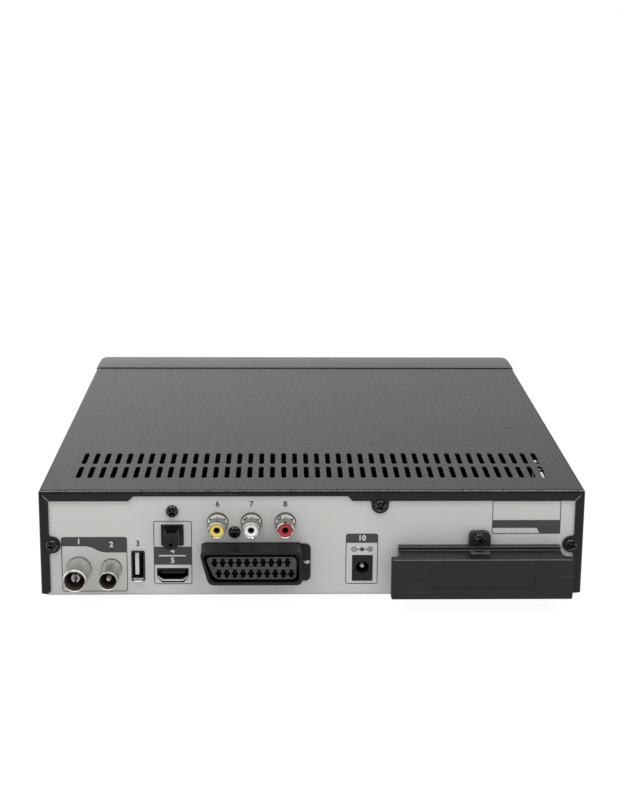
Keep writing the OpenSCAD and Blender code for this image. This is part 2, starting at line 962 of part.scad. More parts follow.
module ribbon_cable() {
  y_front = front_board_y + board_t;
  y_turn = y_front + ribbon_plug;
  y_board = panel_y - behind - board_d;
  y_plug = y_board + ribbon_plug;
  z_low = board_top + ribbon_plug;
  z_plug = ribbon_z + ribbon_plug;
  color([0.86, 0.86, 0.84])
    translate([-ribbon_off, 0, pan_z])
      rotate([90, 0, 90])
        linear_extrude(ribbon_w)
          polygon([[y_front, ribbon_z], [y_turn, ribbon_z], [y_board, z_low], [y_plug, z_low],
            [y_plug, board_top], [y_plug + ribbon_plug, board_top],
            [y_plug + ribbon_plug, z_low + ribbon_t], [y_board, z_low + ribbon_t],
            [y_turn, ribbon_z + ribbon_t], [y_turn, z_plug], [y_front, z_plug]]);
}

module board_holes() {
  for (u = [board_left + board_inset, board_right - board_inset],
      depth = [behind + board_screw_depth, behind + board_d - board_inset])
    translate([-u, panel_y - depth])
      children();
  translate([mid_screw_in - dc_u, panel_y - behind - mid_screw_depth])
    children();
}

module main_board() {
  color([0.05, 0.25, 0.13])
    translate([0, 0, pan_z + board_v])
      difference() {
        translate([-board_right, panel_y - behind - board_d, 0])
          cube([board_right - board_left, board_d, board_t]);
        translate([0, 0, -through])
          linear_extrude(board_t + 2 * through)
            board_holes()
              circle(screw_r + hole_gap);
      }
}

module board_standoffs() {
  color([0.75, 0.74, 0.7])
    translate([0, 0, pan_z + pan_t])
      board_holes()
        difference() {
          cylinder(r = standoff_r, h = standoff_h);
          translate([0, 0, -through])
            cylinder(r = thread_r, h = standoff_h + 2 * through);
        }
}

module board_screws() {
  color([0.7, 0.7, 0.7])
    translate([0, 0, pan_z + board_top])
      board_holes()
        difference() {
          union() {
            cylinder(r = head_r * 0.95, h = board_head_h);
            translate([0, 0, -board_t - board_shank])
              cylinder(r = screw_r - press_gap, h = board_t + board_shank + board_head_h / 2);
          }
          for (a = [0, 90])
            rotate(a)
              translate([-head_r * 0.55, -cross_w / 2, board_head_h * 0.6])
                cube([head_r * 1.1, cross_w, board_head_h]);
        }
}

module tuner_can() {
  w = ant_pitch + ant_r + out_r + 2 * can_t + tuner_side;
  mid = (ant_u + out_u) / 2;
  color([0.78, 0.78, 0.76])
    on_board(mid, behind + tuner_d)
      difference() {
        translate([-w / 2, 0, 0])
          cube([w, tuner_d, tuner_h]);
        translate([can_t - w / 2, can_t, -through])
          cube([w - 2 * can_t, tuner_d - 2 * can_t, tuner_h + through - can_t]);
        for (s = [-1, 1])
          translate([s * ant_pitch / 2, tuner_d - can_t - through, ant_z - board_top])
            rotate([-90, 0, 0])
              cylinder(r = (s > 0 ? ant_r : out_r) - root_step + press_gap, h = can_t + 2 * through);
      }
}

module socket_shell(r, bore) {
  root = -behind - shell_root;
  rotate_extrude()
    polygon(concat(
      [[bore, root], [bore, ant_reach - shell_chamfer], [bore + shell_chamfer, ant_reach]],
      nose(r, r - bore - nose_rim, ant_reach, ant_nose),
      [[r, root_step], [r - root_step, root_step], [r - root_step, root]]));
}

module antenna_in_shell() {
  color([0.8, 0.8, 0.79])
    on_panel(ant_u, ant_z)
      socket_shell(ant_r, ant_bore_r);
}

module antenna_in_insulator() {
  color([0.09, 0.08, 0.07])
    on_panel(ant_u, ant_z, -behind - shell_root)
      difference() {
        cylinder(r = ant_bore_r - press_gap, h = insulator_d);
        translate([0, 0, -through])
          cylinder(r = ant_contact_r + press_gap, h = insulator_d + 2 * through);
      }
}

module antenna_in_contact() {
  color([0.72, 0.66, 0.5])
    on_panel(ant_u, ant_z, -behind - shell_root)
      difference() {
        cylinder(r = ant_contact_r, h = ant_reach + tongue_recess);
        translate([0, 0, insulator_d - tongue_recess])
          cylinder(r = ant_contact_bore, h = ant_reach);
        translate([-ant_contact_slit / 2, -2 * ant_contact_r, insulator_d + tongue_recess])
          cube([ant_contact_slit, 4 * ant_contact_r, ant_reach]);
      }
}

module antenna_out_shell() {
  color([0.8, 0.8, 0.79])
    on_panel(out_u, ant_z)
      socket_shell(out_r, out_bore_r);
}

module antenna_out_insulator() {
  color([0.09, 0.08, 0.07])
    on_panel(out_u, ant_z, -behind - shell_root)
      difference() {
        cylinder(r = out_bore_r - press_gap, h = insulator_d);
        translate([0, 0, -through])
          cylinder(r = ant_pin_r + press_gap, h = insulator_d + 2 * through);
      }
}

module antenna_out_pin() {
  color([0.75, 0.7, 0.55])
    on_panel(out_u, ant_z, -behind - shell_root) {
      cylinder(r = ant_pin_r, h = ant_reach + ant_pin_r);
      translate([0, 0, ant_reach + ant_pin_r])
        cylinder(r1 = ant_pin_r, r2 = ant_pin_r * 0.4, h = ant_pin_r);
    }
}

module usb_shell() {
  color([0.78, 0.78, 0.78])
    on_panel(usb_u, usb_z) {
      difference() {
        translate([0, 0, -socket_d])
          linear_extrude(socket_d + usb_proud)
            rounded_rect(usb_w, usb_h, 2 * shell_chamfer);
        translate([0, 0, shell_t - socket_d])
          linear_extrude(socket_d + through)
            rounded_rect(usb_w - 2 * shell_t, usb_h - 2 * shell_t, shell_chamfer);
        translate([0, -usb_h / 2 - through, -socket_d - through])
          linear_extrude(socket_d * 0.4)
            square([usb_w, usb_h]);
      }
      for (d = [0.3, 0.7])
        translate([-leg_w / 2, board_top - usb_z, -d * socket_d - leg_w])
          cube([leg_w, usb_z - usb_h / 2 - board_top + shell_t / 2, leg_w]);
    }
}

module usb_tongue() {
  color([0.9, 0.9, 0.88])
    on_panel(usb_u, usb_z) {
      translate([-usb_tongue_in, -usb_tongue_h / 2, root_d - socket_d])
        cube([usb_tongue_t, usb_tongue_h, socket_d - root_d - tongue_recess]);
      translate([shell_t + press_gap - usb_w / 2, -usb_tongue_h / 2, shell_t + press_gap - socket_d])
        cube([usb_root_w, usb_tongue_h, root_d]);
    }
}

module hdmi_shell() {
  color([0.78, 0.78, 0.78])
    on_panel(hdmi_u, hdmi_z) {
      difference() {
        translate([0, 0, -socket_d])
          linear_extrude(socket_d + hdmi_proud)
            hdmi_outline(0);
        translate([0, 0, shell_t - socket_d])
          linear_extrude(socket_d + through)
            hdmi_outline(-shell_t);
      }
      for (s = [-1, 1], d = [0.35, 0.8])
        translate([s * hdmi_w / 4 - leg_w / 2, board_top - hdmi_z, -d * socket_d - leg_w])
          cube([leg_w, hdmi_z - hdmi_h / 2 - board_top + shell_t / 2, leg_w]);
    }
}

module hdmi_tongue() {
  color([0.06, 0.06, 0.06])
    on_panel(hdmi_u, hdmi_z) {
      translate([-hdmi_tongue_w / 2, -press_gap, root_d - socket_d])
        cube([hdmi_tongue_w, hdmi_tongue_t, socket_d - root_d - tongue_recess]);
      translate([-hdmi_root_w / 2, shell_t + press_gap - hdmi_h / 2, shell_t + press_gap - socket_d])
        cube([hdmi_root_w, hdmi_h - 2 * (shell_t + press_gap), root_d]);
    }
}

module optical_housing() {
  inner = cap_w - 2 * plug_in + 2 * move_gap;
  post_h = optical_z - board_top - optical_w / 2;
  color([0.06, 0.06, 0.06])
    on_panel(hdmi_u, optical_z)
      difference() {
        union() {
          translate([0, 0, -behind - optical_bore_d])
            linear_extrude(behind + optical_bore_d + optical_proud)
              rounded_rect(optical_w, optical_w, optical_corner_r);
          translate([-optical_w / 2, -optical_w / 2, -behind - optical_d])
            cube([optical_w, optical_screw_z + head_r + through - optical_z + optical_w / 2, optical_d]);
          translate([-optical_w / 2, board_top - optical_z, -behind - optical_d])
            cube([optical_w, post_h + optical_corner_r, optical_d + behind - socket_d - through]);
        }
        translate([0, 0, -optical_bore_d])
          linear_extrude(optical_bore_d + optical_proud + through)
            square(inner, center = true);
        translate([0, optical_screw_z - optical_z, -behind - optical_bore_d])
          cylinder(r = thread_r, h = optical_bore_d + through);
      }
}

module optical_dust_cap() {
  color([0.1, 0.1, 0.1])
    on_panel(hdmi_u, optical_z + cap_rise) {
      translate([0, -cap_rise, through - optical_bore_d])
        linear_extrude(optical_bore_d + optical_proud)
          rounded_rect(cap_w - 2 * plug_in, cap_w - 2 * plug_in, optical_corner_r);
      difference() {
        translate([0, -cap_w / 2, optical_proud + move_gap])
          linear_extrude(cap_reach - optical_proud - move_gap)
            mirror([0, 1])
              translate([0, -cap_w])
                arch(cap_w, cap_w, cap_w * 0.44);
        translate([0, -cap_hole_r, cap_reach - 2 * cap_hole_r])
          cylinder(r = cap_hole_r, h = 3 * cap_hole_r);
        translate([0, cap_w / 2 - cap_dent, cap_reach / 2])
          rotate([-90, 0, 0])
            linear_extrude(2 * cap_dent)
              polygon([for (p = [[-0.4, 0.26], [0.4, 0.26], [0.28, -0.24], [-0.28, -0.24]])
                [p[0] * cap_w, p[1] * cap_reach]]);
      }
    }
}

module rca_block() {
  low = scart_z + scart_h / 2;
  w = 2 * (rca_pitch + rca_block_side);
  top = rca_z + rca_block_top;
  color([0.05, 0.05, 0.05])
    on_panel(rca_u + rca_pitch, 0, -behind - block_d)
      difference() {
        translate([-w / 2, low, 0])
          cube([w, top - low, block_d]);
        for (i = [-1, 0, 1])
          translate([i * rca_pitch, rca_z, block_d - rca_root])
            cylinder(r = rca_collar_r + press_gap, h = rca_root + through);
        translate([-rca_pitch / 2, rca_screw_z, block_d - shank_l])
          cylinder(r = thread_r, h = shank_l + through);
      }
}

module rca_barrels() {
  bore = rca_r - rca_wall;
  step = rca_collar_r - rca_r;
  collar_h = 3.5 * step;
  root = -behind - rca_root;
  color([0.8, 0.79, 0.77])
    for (i = [0:2])
      on_panel(rca_u + i * rca_pitch, rca_z)
        difference() {
          rotate_extrude()
            polygon(concat(
              [[bore, root], [bore, rca_reach - shell_chamfer], [bore + shell_chamfer, rca_reach]],
              nose(rca_r, rca_wall - nose_rim, rca_reach, rca_nose),
              [[rca_r, collar_h], [rca_collar_r, collar_h - step / 2], [rca_collar_r, root]]));
          for (turn = [rca_notch_turn, 180 - rca_notch_turn])
            rotate(turn)
              translate([rca_r, 0, -behind])
                cylinder(r = rca_notch_r, h = behind + collar_h * 1.1);
        }
}

module rca_insert() {
  r = rca_r - rca_wall - press_gap;
  low = rca_reach - 2 * shell_chamfer;
  rotate_extrude()
    polygon([[rca_hole_r, low], [r - shell_chamfer, rca_reach - shell_chamfer], [r, low],
      [r, -behind - rca_root], [rca_hole_r, -behind - rca_root]]);
}

module rca_yellow_insert() {
  color([0.93, 0.82, 0.25])
    on_panel(rca_u, rca_z)
      rca_insert();
}

module rca_white_insert() {
  color([0.94, 0.94, 0.93])
    on_panel(rca_u + rca_pitch, rca_z)
      rca_insert();
}

module rca_red_insert() {
  color([0.78, 0.16, 0.2])
    on_panel(rca_u + 2 * rca_pitch, rca_z)
      rca_insert();
}

module contact_places() {
  for (row = [0, 1], i = [0:slots - 1])
    translate([(i + row / 2 - (slots - 1) / 2) * scart_pitch - scart_shift, (0.5 - row) * slot_rows])
      children();
}

module scart_housing() {
  color([0.08, 0.08, 0.08])
    on_panel(scart_u, scart_z) {
      difference() {
        translate([0, 0, -behind])
          linear_extrude(behind + scart_reach)
            polygon(scart_points(0));
        translate([0, 0, scart_reach - cavity_d])
          linear_extrude(cavity_d + through)
            difference() {
              polygon(scart_points(scart_wall));
              polygon(scart_points(scart_wall + scart_gap));
            }
        translate([0, 0, scart_reach - scart_recess])
          linear_extrude(through)
            polygon(scart_points(scart_wall));
        translate([0, 0, scart_reach - cavity_d + scart_floor])
          linear_extrude(cavity_d)
            contact_places() {
              square([slot_w, slot_h], center = true);
              square([slot_bar_w, slot_bar_h], center = true);
            }
      }
      translate([-scart_w / 2, board_top - scart_z, -behind - block_d])
        cube([scart_w, scart_z + scart_h / 2 - board_top, block_d]);
      translate([scart_w / 2 - through, -tab_drop, 0])
        linear_extrude(tab_t)
          difference() {
            rounded_rect(2 * (tab_w + through), scart_h + tab_rise, tab_r);
            translate([-2 * (tab_w + through), -scart_h])
              square([2 * (tab_w + through), 2 * scart_h]);
          }
    }
}

module scart_contacts() {
  color([0.8, 0.72, 0.45])
    on_panel(scart_u, scart_z, scart_reach - cavity_d + scart_floor)
      linear_extrude(cavity_d * 0.6)
        contact_places()
          square([scart_blade_t, slot_h * 0.76], center = true);
}

module dc_housing() {
  color([0.05, 0.05, 0.05])
    on_panel(dc_u, dc_z, -behind - dc_d)
      difference() {
        linear_extrude(behind + dc_d + dc_proud)
          rounded_rect(dc_w, dc_h, shell_chamfer);
        translate([0, dc_hole_rise, behind + dc_floor])
          cylinder(r = dc_hole_r, h = dc_d);
        translate([0, dc_hole_rise, behind - through])
          cylinder(r = dc_pin_r + press_gap, h = dc_d);
      }
}

module dc_pin() {
  color([0.8, 0.8, 0.78])
    on_panel(dc_u, dc_z + dc_hole_rise, -dc_d - through)
      union() {
        cylinder(r = dc_pin_r, h = dc_d - dc_tip);
        translate([0, 0, dc_d - dc_tip])
          cylinder(r1 = dc_pin_r, r2 = dc_pin_r * 0.5, h = dc_tip);
      }
}

module drive_cage() {
  w = bay_w + 2 * cage_t;
  h = bay_h + 2 * cage_t;
  color([0.8, 0.8, 0.78])
    translate([-bay_u, panel_y - behind - bay_d, pan_z])
      difference() {
        union() {
          translate([-w / 2, 0, cage_z])
            cube([w, bay_d, h]);
          for (s = [0, 1])
            mirror([s, 0, 0])
              translate([-w / 2, 0, pan_t]) {
                cube([cage_t, bay_d - cage_relief, cage_z - pan_t + cage_t / 2]);
                cube([cage_foot_w, bay_d - cage_relief, cage_t]);
              }
        }
        translate([-bay_w / 2, -through, bay_z])
          cube([bay_w, bay_d + 2 * through, bay_h]);
      }
}

module drive_connector() {
  color([0.07, 0.07, 0.07])
    translate([-bay_u, panel_y - behind - bay_d, pan_z + bay_z]) {
      translate([-bay_w / 2 - cage_t, -board_t, -cage_t])
        cube([bay_w + 2 * cage_t, board_t, bay_h + 2 * cage_t]);
      difference() {
        translate([-plug_w / 2, -board_t / 2, plug_z])
          cube([plug_w, plug_h, plug_h]);
        translate([plug_wall - plug_w / 2, plug_wall, plug_z + (plug_h - plug_slot_h) / 2])
          cube([plug_w - 2 * plug_wall, plug_h, plug_slot_h]);
      }
    }
}

module lid_plan(w, d) {
  translate([-lid_body_w / 2, 0])
    square([lid_body_w, d]);
  difference() {
    translate([-w / 2, d - lid_fillet])
      square([w, lid_fillet]);
    for (s = [-1, 1])
      translate([s * w / 2, d - lid_fillet])
        circle(lid_fillet);
  }
}

module bay_cover() {
  body_d = lid_reach - lid_plate - move_gap;
  tab_top = lid_screw_z + tab_over;
  grip_z = lid_top + grip_r * 0.82;
  hook_z = bay_z + move_gap;
  wall_z = lid_body_z + lid_wall / 2;
  color([0.15, 0.15, 0.16]) {
    difference() {
      union() {
        on_panel(lid_u, lid_z + lid_h / 2, lid_reach - lid_plate)
          linear_extrude(lid_plate)
            rounded_rect(lid_w, lid_h, lid_edge_r);
        translate([-lid_u, panel_y + move_gap, pan_z + lid_body_z])
          linear_extrude(lid_top - lid_body_z - lid_top_step)
            lid_plan(lid_body_w + 2 * lid_fillet - 2 * lid_top_step, body_d + lid_top_step);
        on_panel(lid_u, 0, move_gap)
          linear_extrude(rim_t)
            translate([-lid_body_w / 2, lid_top - through])
              square([lid_body_w, rim_rise + through]);
        on_panel(bay_u, 0, move_gap)
          linear_extrude(rim_t) {
            translate([-lid_tab_w / 2, lid_top])
              square([lid_tab_w, tab_top - lid_top - lid_tab_r]);
            translate([0, tab_top - 2 * lid_tab_r])
              rounded_rect(lid_tab_w, 4 * lid_tab_r, lid_tab_r);
          }
      }
      translate([-lid_u - lid_body_w / 2 + lid_wall, panel_y, pan_z + lid_body_z + lid_wall])
        cube([lid_body_w - 2 * lid_wall, body_d, lid_hollow_h]);
      on_panel(bay_u, lid_screw_z, -through)
        cylinder(r = ear_hole_r, h = rim_t + move_gap + 2 * through);
      on_panel(bay_u, grip_z, rim_t + move_gap)
        cylinder(r = grip_r - lid_step / 3, h = 4 * grip_step);
      for (i = [0:3])
        on_panel(bay_u, grip_z, rim_t + move_gap + i * grip_step)
          cylinder(r = grip_r, h = grip_step * 0.6);
      on_panel(lid_u, lid_z + lid_h / 2, lid_reach - mark_dent)
        linear_extrude(through)
          square([mark_w, mark_h], center = true);
    }
    for (s = [-1, 1])
      on_panel(bay_u + s * (bay_w / 2 - hook_in - hook_w / 2) - hook_w / 2, 0) {
        translate([0, hook_z, -pan_t - hook_l])
          cube([hook_w, hook_t, pan_t + hook_l + move_gap + hook_root]);
        translate([0, wall_z, move_gap])
          cube([hook_w, hook_z + hook_t - wall_z, hook_root]);
      }
  }
}

module bay_screw() {
  color([0.05, 0.05, 0.05])
    on_panel(bay_u, lid_screw_z, rim_t + move_gap + press_gap)
      pan_screw();
}

module processor() {
  color([0.08, 0.08, 0.08])
    on_board(board_right - chip_in, chip_depth)
      linear_extrude(chip_t)
        rounded_rect(chip_w, chip_w, shell_chamfer);
}

module heat_sink() {
  fin = sink_w / (2 * sink_fins - 1);
  color([0.72, 0.73, 0.75])
    on_board(board_right - chip_in, chip_depth)
      translate([-sink_w / 2, -sink_w / 2, chip_t]) {
        cube([sink_w, sink_w, sink_base]);
        for (i = [0:sink_fins - 1])
          translate([2 * i * fin, 0, sink_base / 2])
            cube([fin, sink_w, sink_h - sink_base / 2]);
      }
}

module memory_chips() {
  color([0.09, 0.09, 0.09])
    for (p = [[-memory_side, -memory_step / 2], [-memory_side, memory_step / 2],
        [memory_back, memory_back], [0, memory_back + memory_l]])
      on_board(board_right - chip_in + p[0], chip_depth + p[1])
        linear_extrude(memory_t)
          square([memory_w, memory_l], center = true);
}

module can_capacitor(r, h) {
  difference() {
    cylinder(r = r, h = h);
    translate([0, 0, h - cap_recess])
      cylinder(r = r * 0.82, h = 2 * cap_recess);
  }
}

module capacitors() {
  color([0.14, 0.16, 0.3]) {
    for (i = [0, 1])
      on_board(board_right - cap_in + i * 2.4 * large_cap_r, cap_depth + i * large_cap_r)
        can_capacitor(large_cap_r, large_cap_h);
    for (i = [0, 1])
      on_board(board_right - cap_in + i * 2.4 * small_cap_r, cap_depth + cap_row + i * 2.4 * small_cap_r)
        can_capacitor(small_cap_r, small_cap_h);
    for (i = [0, 1])
      on_board(hdmi_u - slim_cap_r - 2 * i * slim_cap_r, cap_depth + i * cap_row)
        can_capacitor(slim_cap_r, slim_cap_h);
  }
}

module coils() {
  color([0.2, 0.2, 0.2])
    for (p = [[0, 0], [0, cap_row], [cap_row, 2 * cap_row]])
      on_board(board_right - coil_in + p[0], coil_depth + p[1])
        difference() {
          linear_extrude(coil_h)
            rounded_rect(coil_w, coil_w, coil_w / 5);
          translate([0, 0, coil_h * 0.8])
            cylinder(r = coil_r, h = coil_h);
        }
}

chassis_pan();
top_cover();
feet();
cover_screws();
panel_screws();
front_panel();
front_screws();
display_window();
standby_button();
channel_down_button();
channel_up_button();
front_board();
tact_switches();
led_display();
ir_receiver();
ribbon_cable();
main_board();
board_standoffs();
board_screws();
tuner_can();
antenna_in_shell();
antenna_in_insulator();
antenna_in_contact();
antenna_out_shell();
antenna_out_insulator();
antenna_out_pin();
usb_shell();
usb_tongue();
hdmi_shell();
hdmi_tongue();
optical_housing();
optical_dust_cap();
rca_block();
rca_barrels();
rca_yellow_insert();
rca_white_insert();
rca_red_insert();
scart_housing();
scart_contacts();
dc_housing();
dc_pin();
drive_cage();
drive_connector();
bay_cover();
bay_screw();
heat_sink();
processor();
memory_chips();
capacitors();
coils();
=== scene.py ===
import json
import math

import bmesh
import bpy
from mathutils import Matrix, Vector

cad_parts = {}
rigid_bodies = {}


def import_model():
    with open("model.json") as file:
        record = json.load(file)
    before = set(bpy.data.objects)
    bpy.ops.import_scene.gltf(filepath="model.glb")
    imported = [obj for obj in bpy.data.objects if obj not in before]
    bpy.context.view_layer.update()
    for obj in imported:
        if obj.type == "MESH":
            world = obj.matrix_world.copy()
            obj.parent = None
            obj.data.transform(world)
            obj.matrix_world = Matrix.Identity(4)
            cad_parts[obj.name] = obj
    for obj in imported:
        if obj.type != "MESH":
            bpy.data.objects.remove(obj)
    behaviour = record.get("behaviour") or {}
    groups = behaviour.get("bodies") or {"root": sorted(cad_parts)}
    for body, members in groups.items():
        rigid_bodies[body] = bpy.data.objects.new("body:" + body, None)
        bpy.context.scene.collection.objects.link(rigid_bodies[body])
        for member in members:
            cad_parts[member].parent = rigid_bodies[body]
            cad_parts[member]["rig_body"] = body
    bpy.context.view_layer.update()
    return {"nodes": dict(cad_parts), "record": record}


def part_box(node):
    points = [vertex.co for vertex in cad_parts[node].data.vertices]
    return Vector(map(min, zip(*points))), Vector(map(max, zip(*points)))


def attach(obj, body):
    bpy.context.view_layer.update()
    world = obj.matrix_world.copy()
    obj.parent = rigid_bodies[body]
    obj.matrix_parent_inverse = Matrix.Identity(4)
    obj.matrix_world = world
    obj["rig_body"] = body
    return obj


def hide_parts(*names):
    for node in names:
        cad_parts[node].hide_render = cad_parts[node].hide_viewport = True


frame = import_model()
nodes = frame["nodes"]
slotOf = {row["node"]: row["material_slot"] for row in frame["record"]["subparts"]}
scene = bpy.context.scene
scene.view_settings.view_transform = "Standard"
mm = 0.001

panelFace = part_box("chassis_pan")[1].y
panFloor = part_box("chassis_pan")[0].z
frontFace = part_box("front_panel")[0].y
# millimetres on the socket panel (right, up, out, seen from behind) and on the front, to world metres
onPanel = Matrix(((-mm, 0, 0, 0), (0, 0, mm, panelFace), (0, mm, 0, panFloor), (0, 0, 0, 1)))
onFront = Matrix(((mm, 0, 0, 0), (0, 0, -mm, frontFace), (0, mm, 0, panFloor), (0, 0, 0, 1)))
print("frame loaded:", len(nodes), "nodes")


# camera

view = {"place": (0.0154, 0.69235, 0.2921), "yaw": 1.242, "pitch": 11.092, "roll": 0.417,
        "lens": 58.578, "sensor": 36, "shiftUp": -0.2, "nearest": 0.01}


def makeCamera():
    yaw, pitch, roll = (math.radians(view[key]) for key in ("yaw", "pitch", "roll"))
    ahead = Vector((-math.sin(yaw) * math.cos(pitch), -math.cos(yaw) * math.cos(pitch), -math.sin(pitch)))
    right = Vector((-math.cos(yaw), math.sin(yaw), 0))
    up = right.cross(ahead)
    axes = Matrix((math.cos(roll) * right + math.sin(roll) * up,
                   math.cos(roll) * up - math.sin(roll) * right, -ahead)).transposed()
    data = bpy.data.cameras.new("camera")
    data.lens = view["lens"]
    data.sensor_width = view["sensor"]
    data.shift_y = view["shiftUp"]
    data.clip_start = view["nearest"]
    camera = bpy.data.objects.new("camera", data)
    camera.matrix_world = Matrix.Translation(view["place"]) @ axes.to_4x4()
    scene.collection.objects.link(camera)
    scene.camera = camera


makeCamera()
print("camera placed")


# shader node helpers

def feed(tree, socket, value):
    if isinstance(value, bpy.types.NodeSocket):
        tree.links.new(value, socket)
    else:
        socket.default_value = value


def addNode(tree, kind, inputs=None, **settings):
    node = tree.nodes.new("ShaderNode" + kind)
    for key, value in settings.items():
        setattr(node, key, value)
    for key, value in (inputs or {}).items():
        feed(tree, node.inputs[key], value)
    return node


def calc(tree, operation, first, second):
    return addNode(tree, "Math", {0: first, 1: second}, operation=operation).outputs[0]


def ramp(tree, value, low, high, toLow=0.0, toHigh=1.0):
    limits = {"Value": value, "From Min": low, "From Max": high, "To Min": toLow, "To Max": toHigh}
    return addNode(tree, "MapRange", limits, interpolation_type="SMOOTHSTEP").outputs[0]


def mixColour(tree, share, first, second):
    return addNode(tree, "Mix", {0: share, 6: first, 7: second}, data_type="RGBA").outputs[2]


def newGroup(name, outputs, more=()):
    tree = bpy.data.node_groups.new(name, "ShaderNodeTree")
    for label, kind in (("Coords", "Vector"), ("Scale", "Float"), *more):
        tree.interface.new_socket(label, in_out="INPUT", socket_type="NodeSocket" + kind)
    for label in outputs:
        tree.interface.new_socket(label, in_out="OUTPUT", socket_type="NodeSocketFloat")
    start = tree.nodes.new("NodeGroupInput").outputs
    end = tree.nodes.new("NodeGroupOutput").inputs
    return tree, start, end


def placeGroup(tree, group, values):
    node = tree.nodes.new("ShaderNodeGroup")
    node.node_tree = group
    for key, value in values.items():
        feed(tree, node.inputs[key], value)
    return node.outputs


# shared surface effects

grainLook = {"noise": {"Detail": 3.0, "Roughness": 0.6}, "pits": 0.6, "edges": (0.3, 0.7)}
driftLook = {"noise": {"Detail": 5.0, "Roughness": 0.55, "Distortion": 0.4}, "edges": (0.28, 0.72)}
speckSize = 0.22
scratchLook = {"noise": {"Detail": 1.0}, "ways": ((0.5, 18.0), (-0.9, 26.0)), "lean": 0.7,
               "edges": (0.7, 0.78)}
wearLook = {"noise": {"Detail": 4.0}, "edges": (0.3, 0.7), "most": 1.0}


def noise(tree, coords, scale, look):
    return addNode(tree, "TexNoise", {"Vector": coords, "Scale": scale, **look["noise"]}).outputs[0]


def cells(tree, start):
    return addNode(tree, "TexVoronoi", {"Vector": start["Coords"], "Scale": start["Scale"]}).outputs


def makeGrainGroup():
    tree, start, end = newGroup("fineGrain", ("Mask", "Height"))
    coarse = noise(tree, start["Coords"], start["Scale"], grainLook)
    pits = calc(tree, "MULTIPLY", cells(tree, start)["Distance"], grainLook["pits"])
    feed(tree, end["Mask"], ramp(tree, coarse, *grainLook["edges"]))
    feed(tree, end["Height"], calc(tree, "ADD", coarse, pits))
    return tree


def makeCloudGroup():
    tree, start, end = newGroup("toneDrift", ("Mask",))
    wide = noise(tree, start["Coords"], start["Scale"], driftLook)
    feed(tree, end["Mask"], ramp(tree, wide, *driftLook["edges"]))
    return tree


def makeSpeckGroup():
    tree, start, end = newGroup("dustSpecks", ("Mask",), (("Share", "Float"),))
    spots = cells(tree, start)
    chance = addNode(tree, "SeparateColor", {0: spots["Color"]}).outputs
    near = calc(tree, "LESS_THAN", spots["Distance"], calc(tree, "MULTIPLY", chance[1], speckSize))
    chosen = calc(tree, "LESS_THAN", chance[0], start["Share"])
    feed(tree, end["Mask"], calc(tree, "MULTIPLY", calc(tree, "MULTIPLY", near, chosen), chance[2]))
    return tree


def makeScratchGroup():
    tree, start, end = newGroup("fineScratches", ("Mask",))
    masks = []
    for turn, stretch in scratchLook["ways"]:
        laid = addNode(tree, "Mapping", {"Vector": start["Coords"], "Scale": (1.0, stretch, stretch),
                                         "Rotation": (turn, turn * scratchLook["lean"], turn)}).outputs[0]
        masks.append(ramp(tree, noise(tree, laid, start["Scale"], scratchLook), *scratchLook["edges"]))
    feed(tree, end["Mask"], calc(tree, "MAXIMUM", *masks))
    return tree


def makeWearAndLightGroup():
    # the faces' wear and painted light, broken up; more than 1 leaves fewer gaps
    tree, start, end = newGroup("edgeWearAndLight", ("Mask",))
    edge = addNode(tree, "Attribute", attribute_name="wear").outputs["Fac"]
    rubbedAndLit = ramp(tree, noise(tree, start["Coords"], start["Scale"], wearLook), *wearLook["edges"])
    feed(tree, end["Mask"], calc(tree, "MINIMUM", calc(tree, "MULTIPLY", edge, rubbedAndLit), wearLook["most"]))
    return tree


fineGrain = makeGrainGroup()
toneDrift = makeCloudGroup()
dustSpecks = makeSpeckGroup()
fineScratches = makeScratchGroup()
edgeWearAndLight = makeWearAndLightGroup()


# one finish: colour that drifts, grain, specks, scratches, and a lighter colour on marked faces for rubbed
# edges, painted highlights and painted light

plainLook = {"colour": (0.5, 0.5, 0.5), "drift": 0.9, "driftScale": 60, "rough": 0.5, "roughSpan": 0.08,
             "metal": 0.0, "specular": 0.5, "grain": 2500, "dapple": 0.35, "depth": 0.02,
             "speckShare": 0.0, "speckScale": 900, "speckColour": (0.5, 0.5, 0.48), "speckRough": 0.2,
             "scratch": 0.0, "scratchScale": 60, "scratchRough": 0.15,
             "wear": 0.0, "wearColour": (0.4, 0.4, 0.4), "wearScale": 900, "wearRough": 0.0, "wearMetal": 0.0}


def tone(colour, share=1.0):
    return tuple(channel * share for channel in colour) + (1.0,)


